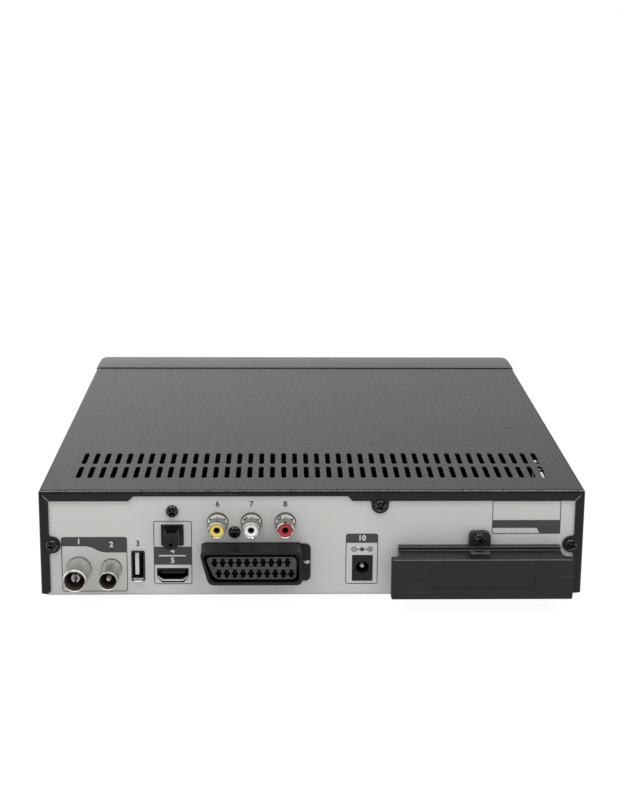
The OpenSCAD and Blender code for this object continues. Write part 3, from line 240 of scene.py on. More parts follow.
def makeFinish(name, **changes):
    look = {**plainLook, **changes}
    material = bpy.data.materials.new(name)
    material.use_nodes = True
    tree = material.node_tree
    shader = tree.nodes["Principled BSDF"]
    coords = addNode(tree, "TexCoord").outputs["Object"]
    drift = placeGroup(tree, toneDrift, {"Coords": coords, "Scale": look["driftScale"]})["Mask"]
    grain = placeGroup(tree, fineGrain, {"Coords": coords, "Scale": look["grain"]})
    colour = mixColour(tree, drift, tone(look["colour"], look["drift"]), tone(look["colour"]))
    dapple = calc(tree, "MULTIPLY", grain["Mask"], look["dapple"])
    colour = mixColour(tree, dapple, colour, tone(look["colour"], look["drift"] ** 2))
    mean, span = look["rough"], look["roughSpan"]
    rough = ramp(tree, grain["Mask"], 0.0, 1.0, mean - span, mean + span)
    height = grain["Height"]
    metal = look["metal"]
    if look["scratch"]:
        lines = placeGroup(tree, fineScratches, {"Coords": coords, "Scale": look["scratchScale"]})["Mask"]
        lines = calc(tree, "MULTIPLY", lines, look["scratch"])
        colour = mixColour(tree, lines, colour, tone(look["wearColour"]))
        rough = calc(tree, "ADD", rough, calc(tree, "MULTIPLY", lines, look["scratchRough"]))
        height = calc(tree, "SUBTRACT", height, lines)
    if look["speckShare"]:
        specks = placeGroup(tree, dustSpecks, {"Coords": coords, "Scale": look["speckScale"],
                                               "Share": look["speckShare"]})["Mask"]
        colour = mixColour(tree, specks, colour, tone(look["speckColour"]))
        rough = calc(tree, "ADD", rough, calc(tree, "MULTIPLY", specks, look["speckRough"]))
    # lighter colour on marked faces: rubbed edges, and painted highlights and painted light
    if look["wear"]:
        rubbedAndLit = placeGroup(tree, edgeWearAndLight, {"Coords": coords, "Scale": look["wearScale"]})["Mask"]
        rough = calc(tree, "ADD", rough, calc(tree, "MULTIPLY", rubbedAndLit, look["wearRough"]))
        wornAndLit = calc(tree, "MULTIPLY", rubbedAndLit, look["wear"])
        colour = mixColour(tree, wornAndLit, colour, tone(look["wearColour"]))
        if look["wearMetal"]:
            metal = ramp(tree, rubbedAndLit, 0.0, 1.0, look["metal"], look["wearMetal"])
    feed(tree, shader.inputs["Base Color"], colour)
    feed(tree, shader.inputs["Roughness"], rough)
    feed(tree, shader.inputs["Metallic"], metal)
    bump = addNode(tree, "Bump", {"Height": height, "Strength": 1.0, "Distance": look["depth"] * mm})
    feed(tree, shader.inputs["Normal"], bump.outputs[0])
    shader.inputs["Specular IOR Level"].default_value = look["specular"]
    return material


finishes = {
    "panel_paint": makeFinish(
        "silverGreyPaint", colour=(0.635, 0.645, 0.62), drift=0.97, driftScale=25, rough=0.55, grain=3000,
        depth=0.006, speckShare=0.015, speckColour=(0.36, 0.36, 0.34), wear=0.5, wearColour=(0.7, 0.7, 0.68)),
    # its lighter second colour is rubbed paint and painted highlight on the vent rims, and a painted
    # highlight on the rear bend
    "cover_paint": makeFinish(
        "blackPowderCoat", colour=(0.009, 0.009, 0.0093), drift=0.8, driftScale=18, rough=0.31,
        roughSpan=0.05, grain=1150, depth=0.019, speckShare=0.04, speckScale=480,
        speckColour=(0.45, 0.45, 0.44), scratch=0.06, wear=0.65, wearColour=(0.42, 0.42, 0.42),
        wearScale=2200),
    "foot_rubber": makeFinish(
        "footRubber", colour=(0.02, 0.02, 0.02), rough=0.75, grain=2200, depth=0.04, speckShare=0.1,
        speckColour=(0.12, 0.11, 0.1)),
    # its lighter second colour is painted glints on the screw domes and along the cross edges
    "black_screw": makeFinish(
        "blackenedScrew", colour=(0.003, 0.003, 0.0034), rough=0.11, roughSpan=0.03, grain=3500, depth=0.0015,
        wear=1.0, wearColour=(0.4, 0.39, 0.38), wearScale=1100, specular=0.95),
    "front_moulding": makeFinish(
        "frontMoulding", colour=(0.009, 0.009, 0.0095), drift=0.85, rough=0.28, grain=2600, depth=0.008,
        speckShare=0.02, speckScale=300, scratch=0.04),
    "zinc_steel": makeFinish(
        "zincSteel", colour=(0.55, 0.56, 0.57), drift=0.72, driftScale=130, rough=0.36, metal=1.0, grain=900,
        depth=0.01, scratch=0.1, wearColour=(0.75, 0.75, 0.76)),
    "button_plastic": makeFinish(
        "buttonPlastic", colour=(0.022, 0.022, 0.024), rough=0.38, grain=3000, depth=0.008, wear=0.4,
        wearColour=(0.12, 0.12, 0.12)),
    "black_plastic": makeFinish(
        "blackPlastic", colour=(0.01, 0.01, 0.0105), rough=0.45, grain=2600, depth=0.015, wear=0.25,
        wearColour=(0.25, 0.25, 0.25)),
    "white_plastic": makeFinish(
        "whitePlastic", colour=(0.92, 0.92, 0.9), rough=0.35, grain=3000, depth=0.006, speckShare=0.02),
    "tinned_steel": makeFinish(
        "tinnedSteel", colour=(0.72, 0.71, 0.69), drift=0.85, driftScale=300, rough=0.26, metal=1.0,
        grain=2600, depth=0.006, scratch=0.12, wearColour=(0.85, 0.84, 0.82)),
    # its near-white second colour is a painted highlight on the upper side of the barrel mouths
    "nickel": makeFinish(
        "nickelPlate", colour=(0.45, 0.42, 0.385), drift=0.9, driftScale=260, rough=0.16, metal=1.0,
        grain=3200, depth=0.003, scratch=0.1, wear=1.0, wearColour=(0.95, 0.94, 0.92), wearRough=0.2,
        wearMetal=0.45, wearScale=300),
    "dark_insulator": makeFinish(
        "brownInsulator", colour=(0.11, 0.08, 0.058), rough=0.5, grain=2600, depth=0.02),
    "contact_brass": makeFinish(
        "tinnedBrassContact", colour=(0.74, 0.71, 0.64), drift=0.85, driftScale=400, rough=0.28, metal=1.0,
        grain=3000, depth=0.005, scratch=0.12, wearColour=(0.85, 0.8, 0.68)),
    "cap_plastic": makeFinish(
        "dustCapPlastic", colour=(0.007, 0.007, 0.0075), rough=0.42, grain=2600, depth=0.015, wear=0.3,
        wearColour=(0.1, 0.1, 0.1)),
    "yellow_plastic": makeFinish(
        "yellowInsert", colour=(0.86, 0.7, 0.12), drift=0.94, rough=0.32, grain=2600, depth=0.006,
        speckShare=0.01),
    "red_plastic": makeFinish(
        "redInsert", colour=(0.56, 0.03, 0.045), drift=0.92, rough=0.32, grain=2600, depth=0.006),
    # its lighter second colour is painted light on the shaded floor of the wide socket's recess, and a
    # lighter rubbed line with painted highlight on its rounded edges
    "socket_plastic": makeFinish(
        "socketPlastic", colour=(0.007, 0.007, 0.0073), drift=0.85, rough=0.4, grain=2200, depth=0.012,
        wear=0.15, wearColour=(0.4, 0.4, 0.4)),
    # its lighter second colour on the rounded edges is partly rubbed plastic and partly painted highlight
    "bay_plastic": makeFinish(
        "bayPlastic", colour=(0.017, 0.017, 0.0175), drift=0.85, driftScale=30, rough=0.38, grain=2000,
        depth=0.015, speckShare=0.05, speckScale=600, scratch=0.06, wear=0.9, wearColour=(0.4, 0.4, 0.4),
        wearScale=1500),
    "sink_aluminium": makeFinish(
        "sinkAluminium", colour=(0.7, 0.71, 0.72), drift=0.86, rough=0.38, metal=1.0, grain=1400, depth=0.012,
        scratch=0.12),
    "sleeve_blue": makeFinish(
        "capacitorSleeve", colour=(0.02, 0.04, 0.14), rough=0.3, grain=2600, depth=0.004),
    "coil_ferrite": makeFinish("coilFerrite", colour=(0.03, 0.03, 0.032), rough=0.6, grain=1600, depth=0.03),
    "board_green": makeFinish(
        "boardLacquer", colour=(0.012, 0.07, 0.03), drift=0.7, driftScale=90, rough=0.34, grain=1200,
        depth=0.02, speckShare=0.08, speckScale=420, speckColour=(0.5, 0.42, 0.2)),
}
# dark contacts: painted shade on contacts that sit deep in the sockets
shadedContact = makeFinish(
    "shadedContact", colour=(0.03, 0.026, 0.022), rough=0.7, grain=2600, depth=0.01, specular=0.2)
darkInk = makeFinish("darkInk", colour=(0.07, 0.07, 0.072), drift=0.9, rough=0.5, grain=4000, depth=0.004)
# steel darkened to brown: painted shade on the socket shells' shaded walls
shadedShellSteel = makeFinish(
    "shadedShellSteel", colour=(0.09, 0.072, 0.058), drift=0.8, driftScale=300, rough=0.3, metal=1.0, grain=2600,
    depth=0.006, scratch=0.1, wearColour=(0.7, 0.68, 0.64))
# steel whitened and made less metallic: a painted highlight, so that pins and contacts deep in shade read
# bright
paintedHighlightSteel = makeFinish(
    "paintedHighlightSteel", colour=(0.92, 0.91, 0.89), drift=0.94, driftScale=300, rough=0.36, metal=0.35, grain=2600,
    depth=0.006, scratch=0.1, wearColour=(0.9, 0.9, 0.88))
# light grey: painted highlight on the scoop ridges and on the edge beads of the bay cover
paintedHighlightPlastic = makeFinish(
    "paintedHighlightPlastic", colour=(0.34, 0.34, 0.33), drift=0.6, driftScale=500, rough=0.4, grain=2200, depth=0.01)
segmentTint = makeFinish(
    "segmentTint", colour=(0.34, 0.3, 0.28), drift=0.9, rough=0.4, grain=3000, depth=0.004)
# its near-white second colour is a painted highlight on the upper side of the antenna barrels' mouths
satinNickel = makeFinish(
    "satinNickel", colour=(0.76, 0.74, 0.71), drift=0.94, driftScale=260, rough=0.4, metal=1.0, grain=3200,
    depth=0.003, scratch=0.08, wear=1.0, wearColour=(0.95, 0.94, 0.92), wearMetal=0.4, wearScale=300)
# brown: painted shade and painted reflection on the inner walls of the antenna bores
paintedBoreShade = makeFinish(
    "paintedBoreShade", colour=(0.1, 0.07, 0.052), drift=0.7, driftScale=200, rough=0.35, grain=2600, depth=0.008)
lightInk = makeFinish("lightInk", colour=(0.74, 0.75, 0.74), drift=0.95, rough=0.5, grain=4000, depth=0.004)
clearLook = {"Transmission Weight": 0.85, "IOR": 1.49}


def makeWindowFinish():
    material = makeFinish(
        "smokedWindow", colour=(0.03, 0.028, 0.03), rough=0.1, roughSpan=0.02, grain=2000, depth=0.001)
    shader = material.node_tree.nodes["Principled BSDF"]
    for key, value in clearLook.items():
        shader.inputs[key].default_value = value
    return material


finishes["smoked_window"] = makeWindowFinish()
print("finishes made:", len(finishes))


# stage: white floor, world and lamps

stage = {"floorSize": 60.0, "floorShade": 0.82, "floorGlow": 0.88, "floorMirrored": 0.5, "glowLevel": 1.08,
         "fill": 0.72, "dark": 0.1, "leftward": 0.85, "fadeUp": (0.55, 0.75), "fadeBack": (-0.2, 0.4)}


def makeFloor():
    floor = bpy.data.materials.new("paleFloor")
    floor.use_nodes = True
    tree = floor.node_tree
    tree.nodes.clear()
    path = addNode(tree, "LightPath").outputs
    seen = calc(tree, "MULTIPLY", stage["floorGlow"],
                calc(tree, "MAXIMUM", path["Is Camera Ray"], path["Is Transmission Ray"]))
    seen = calc(tree, "MAXIMUM", seen, path["Is Glossy Ray"])
    level = ramp(tree, path["Is Glossy Ray"], 0.0, 1.0, stage["glowLevel"], stage["floorMirrored"])
    matt = addNode(tree, "BsdfDiffuse", {"Color": tone((1, 1, 1), stage["floorShade"])})
    glow = addNode(tree, "Emission", {"Strength": level})
    both = addNode(tree, "MixShader", {0: seen, 1: matt.outputs[0], 2: glow.outputs[0]})
    tree.links.new(both.outputs[0], addNode(tree, "OutputMaterial").inputs[0])
    bm = bmesh.new()
    bmesh.ops.create_grid(bm, x_segments=1, y_segments=1, size=stage["floorSize"] / 2)
    mesh = bpy.data.meshes.new("floor")
    bm.to_mesh(mesh)
    bm.free()
    mesh.materials.append(floor)
    piece = bpy.data.objects.new("floor", mesh)
    scene.collection.objects.link(piece)


def makeWorld():
    world = bpy.data.worlds.new("studio")
    world.use_nodes = True
    scene.world = world
    tree = world.node_tree
    tree.nodes.clear()
    path = addNode(tree, "LightPath").outputs
    way = addNode(tree, "SeparateXYZ", {0: addNode(tree, "TexCoord").outputs["Generated"]}).outputs
    backdrop = calc(tree, "MULTIPLY", ramp(tree, way["Z"], *stage["fadeUp"], 1.0, 0.0),
                    ramp(tree, way["Y"], *stage["fadeBack"], 1.0, 0.0))
    slope = calc(tree, "ADD", calc(tree, "MULTIPLY", way["X"], stage["leftward"]), 1.0)
    mirrored = calc(tree, "MAXIMUM", calc(tree, "MULTIPLY", backdrop, slope), stage["dark"])
    direct = calc(tree, "MAXIMUM", path["Is Camera Ray"], path["Is Transmission Ray"])
    gloss = calc(tree, "MULTIPLY", path["Is Glossy Ray"], mirrored)
    rest = calc(tree, "SUBTRACT", 1.0, calc(tree, "MAXIMUM", direct, path["Is Glossy Ray"]))
    fill = calc(tree, "MULTIPLY", rest, stage["fill"])
    level = calc(tree, "ADD", calc(tree, "MAXIMUM", direct, gloss), fill)
    sky = addNode(tree, "Background", {"Color": (1, 1, 1, 1), "Strength": level})
    tree.links.new(sky.outputs[0], addNode(tree, "OutputWorld").inputs[0])


lamps = {
    "left": {"place": (0.46, 0.5, 1.1), "aim": (0.1, 0.05, 0.03), "size": (0.5, 0.3), "power": 3.4},
    "right": {"place": (-0.46, 0.5, 1.1), "aim": (-0.1, 0.05, 0.03), "size": (0.5, 0.3), "power": 2.6},
}


def makeLamps():
    for name, lamp in lamps.items():
        data = bpy.data.lights.new(name, "AREA")
        data.shape = "RECTANGLE"
        data.size, data.size_y = lamp["size"]
        data.energy = lamp["power"]
        piece = bpy.data.objects.new(name, data)
        toward = Vector(lamp["aim"]) - Vector(lamp["place"])
        turn = toward.to_track_quat("-Z", "Y").to_matrix().to_4x4()
        piece.matrix_world = Matrix.Translation(lamp["place"]) @ turn
        scene.collection.objects.link(piece)


makeFloor()
makeWorld()
makeLamps()
print("stage lit")


# mesh helpers

smoothAngle = 35
weld = {"gap": 0.001, "turnedGap": 0.0005, "flat": 0.5}
stepsOf = {"edge": 2, "corner": 6, "lip": 6, "round": 48}


def asPiece(bm, name, body, material, weighted=False):
    mesh = bpy.data.meshes.new(name)
    bm.to_mesh(mesh)
    bm.free()
    if "custom_normal" in mesh.attributes:
        mesh.attributes.remove(mesh.attributes["custom_normal"])
    mesh.materials.append(material)
    mesh.polygons.foreach_set("material_index", [0] * len(mesh.polygons))
    mesh.shade_smooth()
    mesh.set_sharp_from_angle(angle=math.radians(smoothAngle))
    piece = bpy.data.objects.new(name, mesh)
    scene.collection.objects.link(piece)
    if weighted:
        piece.modifiers.new("faceWeights", "WEIGHTED_NORMAL").keep_sharp = True
    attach(piece, body)
    return piece


def panelPiece(part, name, material, body="chassis"):
    part.transform(onPanel)
    return asPiece(part, name, body, material)


def soften(part, geom, width, steps=stepsOf["edge"], affect="EDGES"):
    return bmesh.ops.bevel(part, geom=geom, offset=width, offset_type="OFFSET", segments=steps, profile=0.5,
                           affect=affect, clamp_overlap=True, material=-1)["faces"]


def softCopy(node, width, steps=stepsOf["edge"], sharpAngle=smoothAngle, finish=None, rounds=None, paintedLightOf=None):
    # the node's own shape with its sharp edges rounded, so that they catch the light
    bm = bmesh.new()
    bm.from_mesh(nodes[node].data)
    bmesh.ops.remove_doubles(bm, verts=bm.verts, dist=weld["gap"] * mm)
    bmesh.ops.dissolve_limit(bm, angle_limit=math.radians(weld["flat"]), verts=bm.verts, edges=bm.edges)
    # a face attribute for the lighter colour; faces that the given function picks are painted lighter, as
    # painted highlight and painted light
    wear = bm.faces.layers.float.new("wear")
    for face in bm.faces:
        face[wear] = float(paintedLightOf(face)) if paintedLightOf else 0.0
    if width:
        edges = [edge for edge in bm.edges
                 if edge.is_manifold and edge.calc_face_angle() > math.radians(sharpAngle)
                 and (rounds is None or rounds(edge))]
        # the rounded edges take the lighter colour: rubbed edges, and a painted highlight along them
        for face in soften(bm, edges, width * mm, steps):
            face[wear] = 1.0
    slot, body = slotOf[node], nodes[node]["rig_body"]
    piece = asPiece(bm, node + "_soft", body, finish or finishes[slot], weighted=bool(width))
    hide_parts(node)


def join(target, part):
    mesh = bpy.data.meshes.new("part")
    part.to_mesh(mesh)
    part.free()
    target.from_mesh(mesh)
    bpy.data.meshes.remove(mesh)


def setDown(target, part, right, up, out=0.0, turn=0.0):
    part.transform(Matrix.Translation((right, up, out)) @ Matrix.Rotation(math.radians(turn), 4, "Z"))
    join(target, part)


def raisedVerts(made):
    return [item for item in made["geom"] if isinstance(item, bmesh.types.BMVert)]


def raisedEdges(made):
    return [item for item in made["geom"] if isinstance(item, bmesh.types.BMEdge)]


def faceOut(part):
    bmesh.ops.recalc_face_normals(part, faces=part.faces)


def asSheet(part, thick):
    faceOut(part)
    bmesh.ops.solidify(part, geom=part.faces[:], thickness=thick)
    faceOut(part)


def thicken(part, height):
    made = bmesh.ops.extrude_face_region(part, geom=part.faces[:], use_keep_orig=True)
    bmesh.ops.translate(part, verts=raisedVerts(made), vec=(0, 0, height))
    faceOut(part)


def flatShape(corners, rounds=(), base=0.0):
    part = bmesh.new()
    points = [part.verts.new((right, up, base)) for right, up in corners]
    part.faces.new(points)
    for radius, chosen in rounds:
        soften(part, [points[index] for index in chosen], radius, stepsOf["corner"], "VERTICES")
    return part


def keepRim(part, line):
    rim = bmesh.ops.inset_region(part, faces=part.faces[:], thickness=line, use_boundary=True,
                                 use_even_offset=True)["faces"]
    bmesh.ops.delete(part, geom=[face for face in part.faces if face not in rim], context="FACES")


def frameShape(left, low, right, high, corner, line, height):
    part = flatShape(((left, low), (right, low), (right, high), (left, high)), ((corner, range(4)),))
    keepRim(part, line)
    thicken(part, height)
    return part


def turned(profile, steps=stepsOf["round"]):
    # a (radius, out) profile turned once round the out axis
    part = bmesh.new()
    points = [part.verts.new((radius, 0, out)) for radius, out in profile]
    edges = [part.edges.new(pair) for pair in zip(points, points[1:])]
    bmesh.ops.spin(part, geom=points + edges, axis=(0, 0, 1), cent=(0, 0, 0), dvec=(0, 0, 0),
                   angle=2 * math.pi, steps=steps, use_merge=True, use_duplicate=False)
    bmesh.ops.remove_doubles(part, verts=part.verts, dist=weld["turnedGap"])
    faceOut(part)
    return part


def turnedSector(profile, start, sweep, steps):
    # a closed (radius, out) profile turned part of the way, degrees from the right
    part = bmesh.new()
    part.faces.new([part.verts.new((radius, 0, out)) for radius, out in profile])
    bmesh.ops.rotate(part, verts=part.verts, cent=(0, 0, 0),
                     matrix=Matrix.Rotation(math.radians(start), 3, "Z"))
    bmesh.ops.spin(part, geom=part.verts[:] + part.edges[:] + part.faces[:], axis=(0, 0, 1), cent=(0, 0, 0),
                   dvec=(0, 0, 0), angle=math.radians(sweep), steps=steps, use_merge=False,
                   use_duplicate=False)
    faceOut(part)
    return part


def curledLip(width, up, out, curl, sweep, thick, way):
    # a strip along the right axis that leaves the shell straight and curls up (way 1) or down (way -1)
    part = bmesh.new()
    ends = [part.verts.new((side * width / 2, up, out)) for side in (-1, 1)]
    edge = part.edges.new(ends)
    bmesh.ops.spin(part, geom=ends + [edge], axis=(1, 0, 0), cent=(0, up + way * curl, out), dvec=(0, 0, 0),
                   angle=-way * math.radians(sweep), steps=stepsOf["lip"], use_merge=False,
                   use_duplicate=False)
    asSheet(part, thick)
    return part


def roundedBar(right, up, out, width, height, depth, edge):
    part = bmesh.new()
    bmesh.ops.create_cube(part, size=1.0, matrix=Matrix.Translation((right, up, out))
                          @ Matrix.Diagonal((width, height, depth, 1.0)))
    soften(part, part.edges[:], edge)
    return part


def boxIn(toWorld, node):
    # a node's middle and half size in millimetres of the socket panel or the front
    low, high = (toWorld.inverted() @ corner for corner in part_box(node))
    return (low + high) / 2, Vector(abs(size) / 2 for size in high - low)


def panelBox(node):
    return boxIn(onPanel, node)


def frontBox(node):
    return boxIn(onFront, node)


# CAD nodes that keep their own mesh take the finish of their slot

for name, node in nodes.items():
    for place in node.material_slots:
        place.material = finishes[slotOf[name]]
# the wide socket's contacts are painted dark as painted shade; the two pins take whitened steel, a painted
# highlight
ownFinish = {"scart_contacts": shadedContact, "dc_pin": paintedHighlightSteel, "antenna_out_pin": paintedHighlightSteel}
for name, finish in ownFinish.items():
    nodes[name].material_slots[0].material = finish
print("slots filled")


# rounded edges, a painted highlight on the upper side of the barrel mouths, and painted light on the shaded
# floor of the wide socket

softEdges = {"chassis_pan": 0.0, "feet": 0.3, "front_panel": 0.5, "bay_cover": 0.3, "optical_housing": 0.15,
             "optical_dust_cap": 0.25, "dc_housing": 0.3, "rca_yellow_insert": 0.1, "rca_white_insert": 0.1,
             "rca_red_insert": 0.1, "standby_button": 0.2, "channel_down_button": 0.2,
             "channel_up_button": 0.2, "display_window": 0.15}
shellEdge = 0.08
noseHighlight = {"lean": (0.2, 0.999), "above": 0.1, "wear": 3.0}
wideRecess = {"edge": 0.14, "facing": 0.9, "back": 2.0, "front": 0.35, "wear": 3.0}
# from a little out of the panel to just behind the housing's front
recessSpan = (panelFace + wideRecess["back"] * mm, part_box("scart_housing")[1].y - wideRecess["front"] * mm)


def onNose(face):
    # the rounded mouth of a barrel, from its first lean to its flat rim; its upper side is painted lighter as
    # a painted highlight
    low, high = noseHighlight["lean"]
    return noseHighlight["wear"] if low < face.normal.y < high and face.normal.z > noseHighlight["above"] else 0.0


# the wide socket's recessed contact face: painted light where the recess is in shade
def paintedLightInWideRecess(face):
    back, front = recessSpan
    inside = face.normal.y > wideRecess["facing"] and back < face.calc_center_median().y < front
    return wideRecess["wear"] if inside else 0.0


for name, width in softEdges.items():
    softCopy(name, width)
for name in ("usb_shell", "hdmi_shell"):
    softCopy(name, shellEdge, finish=shadedShellSteel)
for name in ("antenna_in_shell", "antenna_out_shell"):
    softCopy(name, 0.0, paintedLightOf=onNose, finish=satinNickel)
softCopy("rca_barrels", 0.0, paintedLightOf=onNose)
softCopy("scart_housing", wideRecess["edge"], paintedLightOf=paintedLightInWideRecess)
print("edges rounded on", len(softEdges), "nodes and on the sockets")


# top cover: vent rims, rounded and lighter as rubbed paint and painted highlight, and a painted highlight on
# the bend over the socket panel

coverEdges = {"ventRim": 0.12, "sharpAngle": 60, "flush": 0.02, "bendOut": 0.3, "bendUp": (0.66, 0.86),
              "bendHighlight": 1.7}
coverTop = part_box("top_cover")[1].z - coverEdges["flush"] * mm


def onCoverTop(edge):
    return all(vert.co.z > coverTop for vert in edge.verts)


# the band of the rear bend that faces the lamps: a painted highlight
def highlightOnRearBend(face):
    low, high = coverEdges["bendUp"]
    return coverEdges["bendHighlight"] * (face.normal.y > coverEdges["bendOut"] and low < face.normal.z < high)


softCopy("top_cover", coverEdges["ventRim"], steps=1, sharpAngle=coverEdges["sharpAngle"], rounds=onCoverTop,
         paintedLightOf=highlightOnRearBend)
print("top cover finished")


# cross-recess screws, turned, with the cross pressed in

screw = {"head": 3.0, "dome": 2.04, "domeRadius": 4.8, "rim": 0.8, "shank": 1.45, "length": 6.0,
         "domeSteps": (0.8, 1.5), "rimTurns": (42, 58, 74, 90), "arm": 1.05, "span": 3.9, "deep": 1.5,
         "taper": 0.75, "crossEdge": 0.17, "crossAbove": 0.9, "cutGap": 1e-5, "domeGlint": 0.05,
         "edgeWearAndLight": 2.5}
screwSpots = {"cover_screws": ((-124.1, 26.5, 1.0, 12), (124.1, 26.5, 1.0, 70), (32.0, 46.5, 1.0, 35)),
              "panel_screws": ((-66.9, 43.3, 0.0, 50), (-37.25, 32.7, 0.0, 4)),
              "bay_screw": ((79.8, 30.5, 3.2, 24),)}


def screwProfile():
    head, curve = screw["head"], screw["domeRadius"]
    edge = head - screw["rim"]
    centre = screw["dome"] - curve
    points = [(0, screw["dome"])]
    points += [(x, centre + math.sqrt(curve ** 2 - x ** 2)) for x in (*screw["domeSteps"], edge)]
    lean = math.asin(edge / curve)
    radius = screw["rim"] / (1 - math.sin(lean))
    low = points[-1][1] - radius * math.cos(lean)
    for degrees in screw["rimTurns"]:
        angle = math.radians(degrees)
        points.append((head - radius * (1 - math.sin(angle)), low + radius * math.cos(angle)))
    shank = screw["shank"]
    return points + [(head, 0), (shank, 0), (shank, -screw["length"]), (0, -screw["length"])]


def makeScrew():
    part = turned(screwProfile())
    half, reach = screw["arm"] / 2, screw["span"] / 2
    for axis in (Vector((1, 0, 0)), Vector((0, 1, 0))):
        for offset in (-reach, -half, half, reach):
            top = [face for face in part.faces if face.calc_center_median().z > screw["crossAbove"]]
            edges = list({edge for face in top for edge in face.edges})
            points = list({vert for face in top for vert in face.verts})
            bmesh.ops.bisect_plane(part, geom=points + edges + top, dist=screw["cutGap"],
                                   plane_co=axis * offset, plane_no=axis)
    cross = []
    for face in part.faces:
        spot = face.calc_center_median()
        narrow, far = sorted((abs(spot.x), abs(spot.y)))
        if spot.z > screw["crossAbove"] and narrow < half and far < reach:
            cross.append(face)
    inside = set(cross)
    outline = {edge for face in cross for edge in face.edges if not inside.issuperset(edge.link_faces)}
    floor = raisedVerts(bmesh.ops.extrude_face_region(part, geom=cross))
    bmesh.ops.delete(part, geom=[face for face in cross if face.is_valid], context="FACES")
    bmesh.ops.translate(part, verts=floor, vec=(0, 0, -screw["deep"]))
    bmesh.ops.scale(part, verts=floor, vec=(screw["taper"], screw["taper"], 1.0))
    faceOut(part)
    # painted glints: the dome is patchily lighter and the rounded cross edges lighter still; the faces inside
    # the cross stay black
    wear = part.faces.layers.float.new("wear")
    deepest = set(floor)
    for face in part.faces:
        face[wear] = 0.0 if deepest.intersection(face.verts) else screw["domeGlint"]
    for face in soften(part, [edge for edge in outline if edge.is_valid], screw["crossEdge"]):
        face[wear] = screw["edgeWearAndLight"]
    return part


def makeScrews():
    for node, spots in screwSpots.items():
        whole = bmesh.new()
        for right, up, out, turn in spots:
            setDown(whole, makeScrew(), right, up, out, turn)
        body = nodes[node]["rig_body"]
        piece = panelPiece(whole, node + "_turned", finishes["black_screw"], body)
        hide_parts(node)


makeScrews()
print("screws turned")


# socket details

splitSleeve = {"outer": 2.1, "inner": 1.15, "lip": 0.4, "tipIn": 0.14, "tipDrop": 0.12, "slit": 34,
               "steps": 14}


def makeSplitSleeve():
    middle, half = panelBox("antenna_in_contact")
    inner, outer, lip, slit = (splitSleeve[key] for key in ("inner", "outer", "lip", "slit"))
    root, tip = middle.z - half.z, middle.z + half.z
    tipIn, shoulder = splitSleeve["tipIn"], tip - splitSleeve["tipDrop"]
    profile = ((inner, root), (outer, root), (outer, tip - lip), (outer - tipIn, shoulder),
               ((outer + inner) / 2, tip), (inner + tipIn, shoulder), (inner, tip - lip))
    whole = bmesh.new()
    for side in (-90, 90):
        leaf = turnedSector(profile, side + slit / 2, 180 - slit, splitSleeve["steps"])
        setDown(whole, leaf, middle.x, middle.y)
    piece = panelPiece(whole, "antenna_in_split_sleeve", paintedHighlightSteel)
    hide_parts("antenna_in_contact")


boreShade = {"bores": {"antenna_in_shell": 4.75, "antenna_out_shell": 3.98}, "root": 2.0, "tipDrop": 0.9,
             "rim": 0.12, "wall": 0.2, "lead": 0.3}


# a brown tube inside each bore: painted shade and painted reflection on the metal bore walls
def makeBoreShade():
    whole = bmesh.new()
    root, rim, wall, lead = (boreShade[key] for key in ("root", "rim", "wall", "lead"))
    for node, bore in boreShade["bores"].items():
        middle, half = panelBox(node)
        tip = middle.z + half.z - boreShade["tipDrop"]
        tube = ((bore, root), (bore, tip), (bore - rim, tip), (bore - wall, tip - lead), (bore - wall, root),
                (bore, root))
        setDown(whole, turned(tube), middle.x, middle.y)
    panelPiece(whole, "antenna_bore_painted_shade", paintedBoreShade)


roundInserts = ("rca_yellow_insert", "rca_white_insert", "rca_red_insert")
centreRing = {"outer": 1.58, "inner": 1.1, "tip": 9.0, "root": 3.0, "edge": 0.2, "steps": 32}


def makeCentreRings():
    whole = bmesh.new()
    inner, outer, tip, root, edge = (centreRing[key] for key in ("inner", "outer", "tip", "root", "edge"))
    ring = ((inner, root), (outer, root), (outer, tip - edge), (outer - edge, tip), (inner, tip),
            (inner, root))
    for node in roundInserts:
        middle = panelBox(node)[0]
        setDown(whole, turned(ring, centreRing["steps"]), middle.x, middle.y)
    panelPiece(whole, "round_centre_rings", shadedContact)


collarNotchShade = {"radius": 0.47, "turns": (38, 142), "ring": 4.15, "tip": 2.55, "root": -0.8, "edge": 0.1,
             "steps": 20}


# dark plugs in the collar notches: painted shade for the dark seen in them
def makeCollarNotchShade():
    whole = bmesh.new()
    radius, edge, tip, root = (collarNotchShade[key] for key in ("radius", "edge", "tip", "root"))
    profile = ((0, tip), (radius - edge, tip), (radius, tip - edge), (radius, root), (0, root))
    for node in roundInserts:
        middle = panelBox(node)[0]
        for degrees in collarNotchShade["turns"]:
            turn = math.radians(degrees)
            setDown(whole, turned(profile, collarNotchShade["steps"]), middle.x + collarNotchShade["ring"] * math.cos(turn),
                    middle.y + collarNotchShade["ring"] * math.sin(turn))
    panelPiece(whole, "round_collar_notch_shade", finishes["black_plastic"])


uprightTrim = {"width": 5.9, "brightWidth": 3.9, "lipIn": 0.2, "lipOut": 0.2, "curl": 0.75, "sweep": 68,
               "thick": 0.28, "shadeRing": (6.5, 15.0), "shadeCorner": 0.5, "shadeLine": 0.6, "shadeThick": 0.22,
               "strips": (-3.5, -1.0, 1.0, 3.5), "strip": (0.12, 1.1, 6.0), "stripEdge": 0.04,
               "stripBack": 0.4}


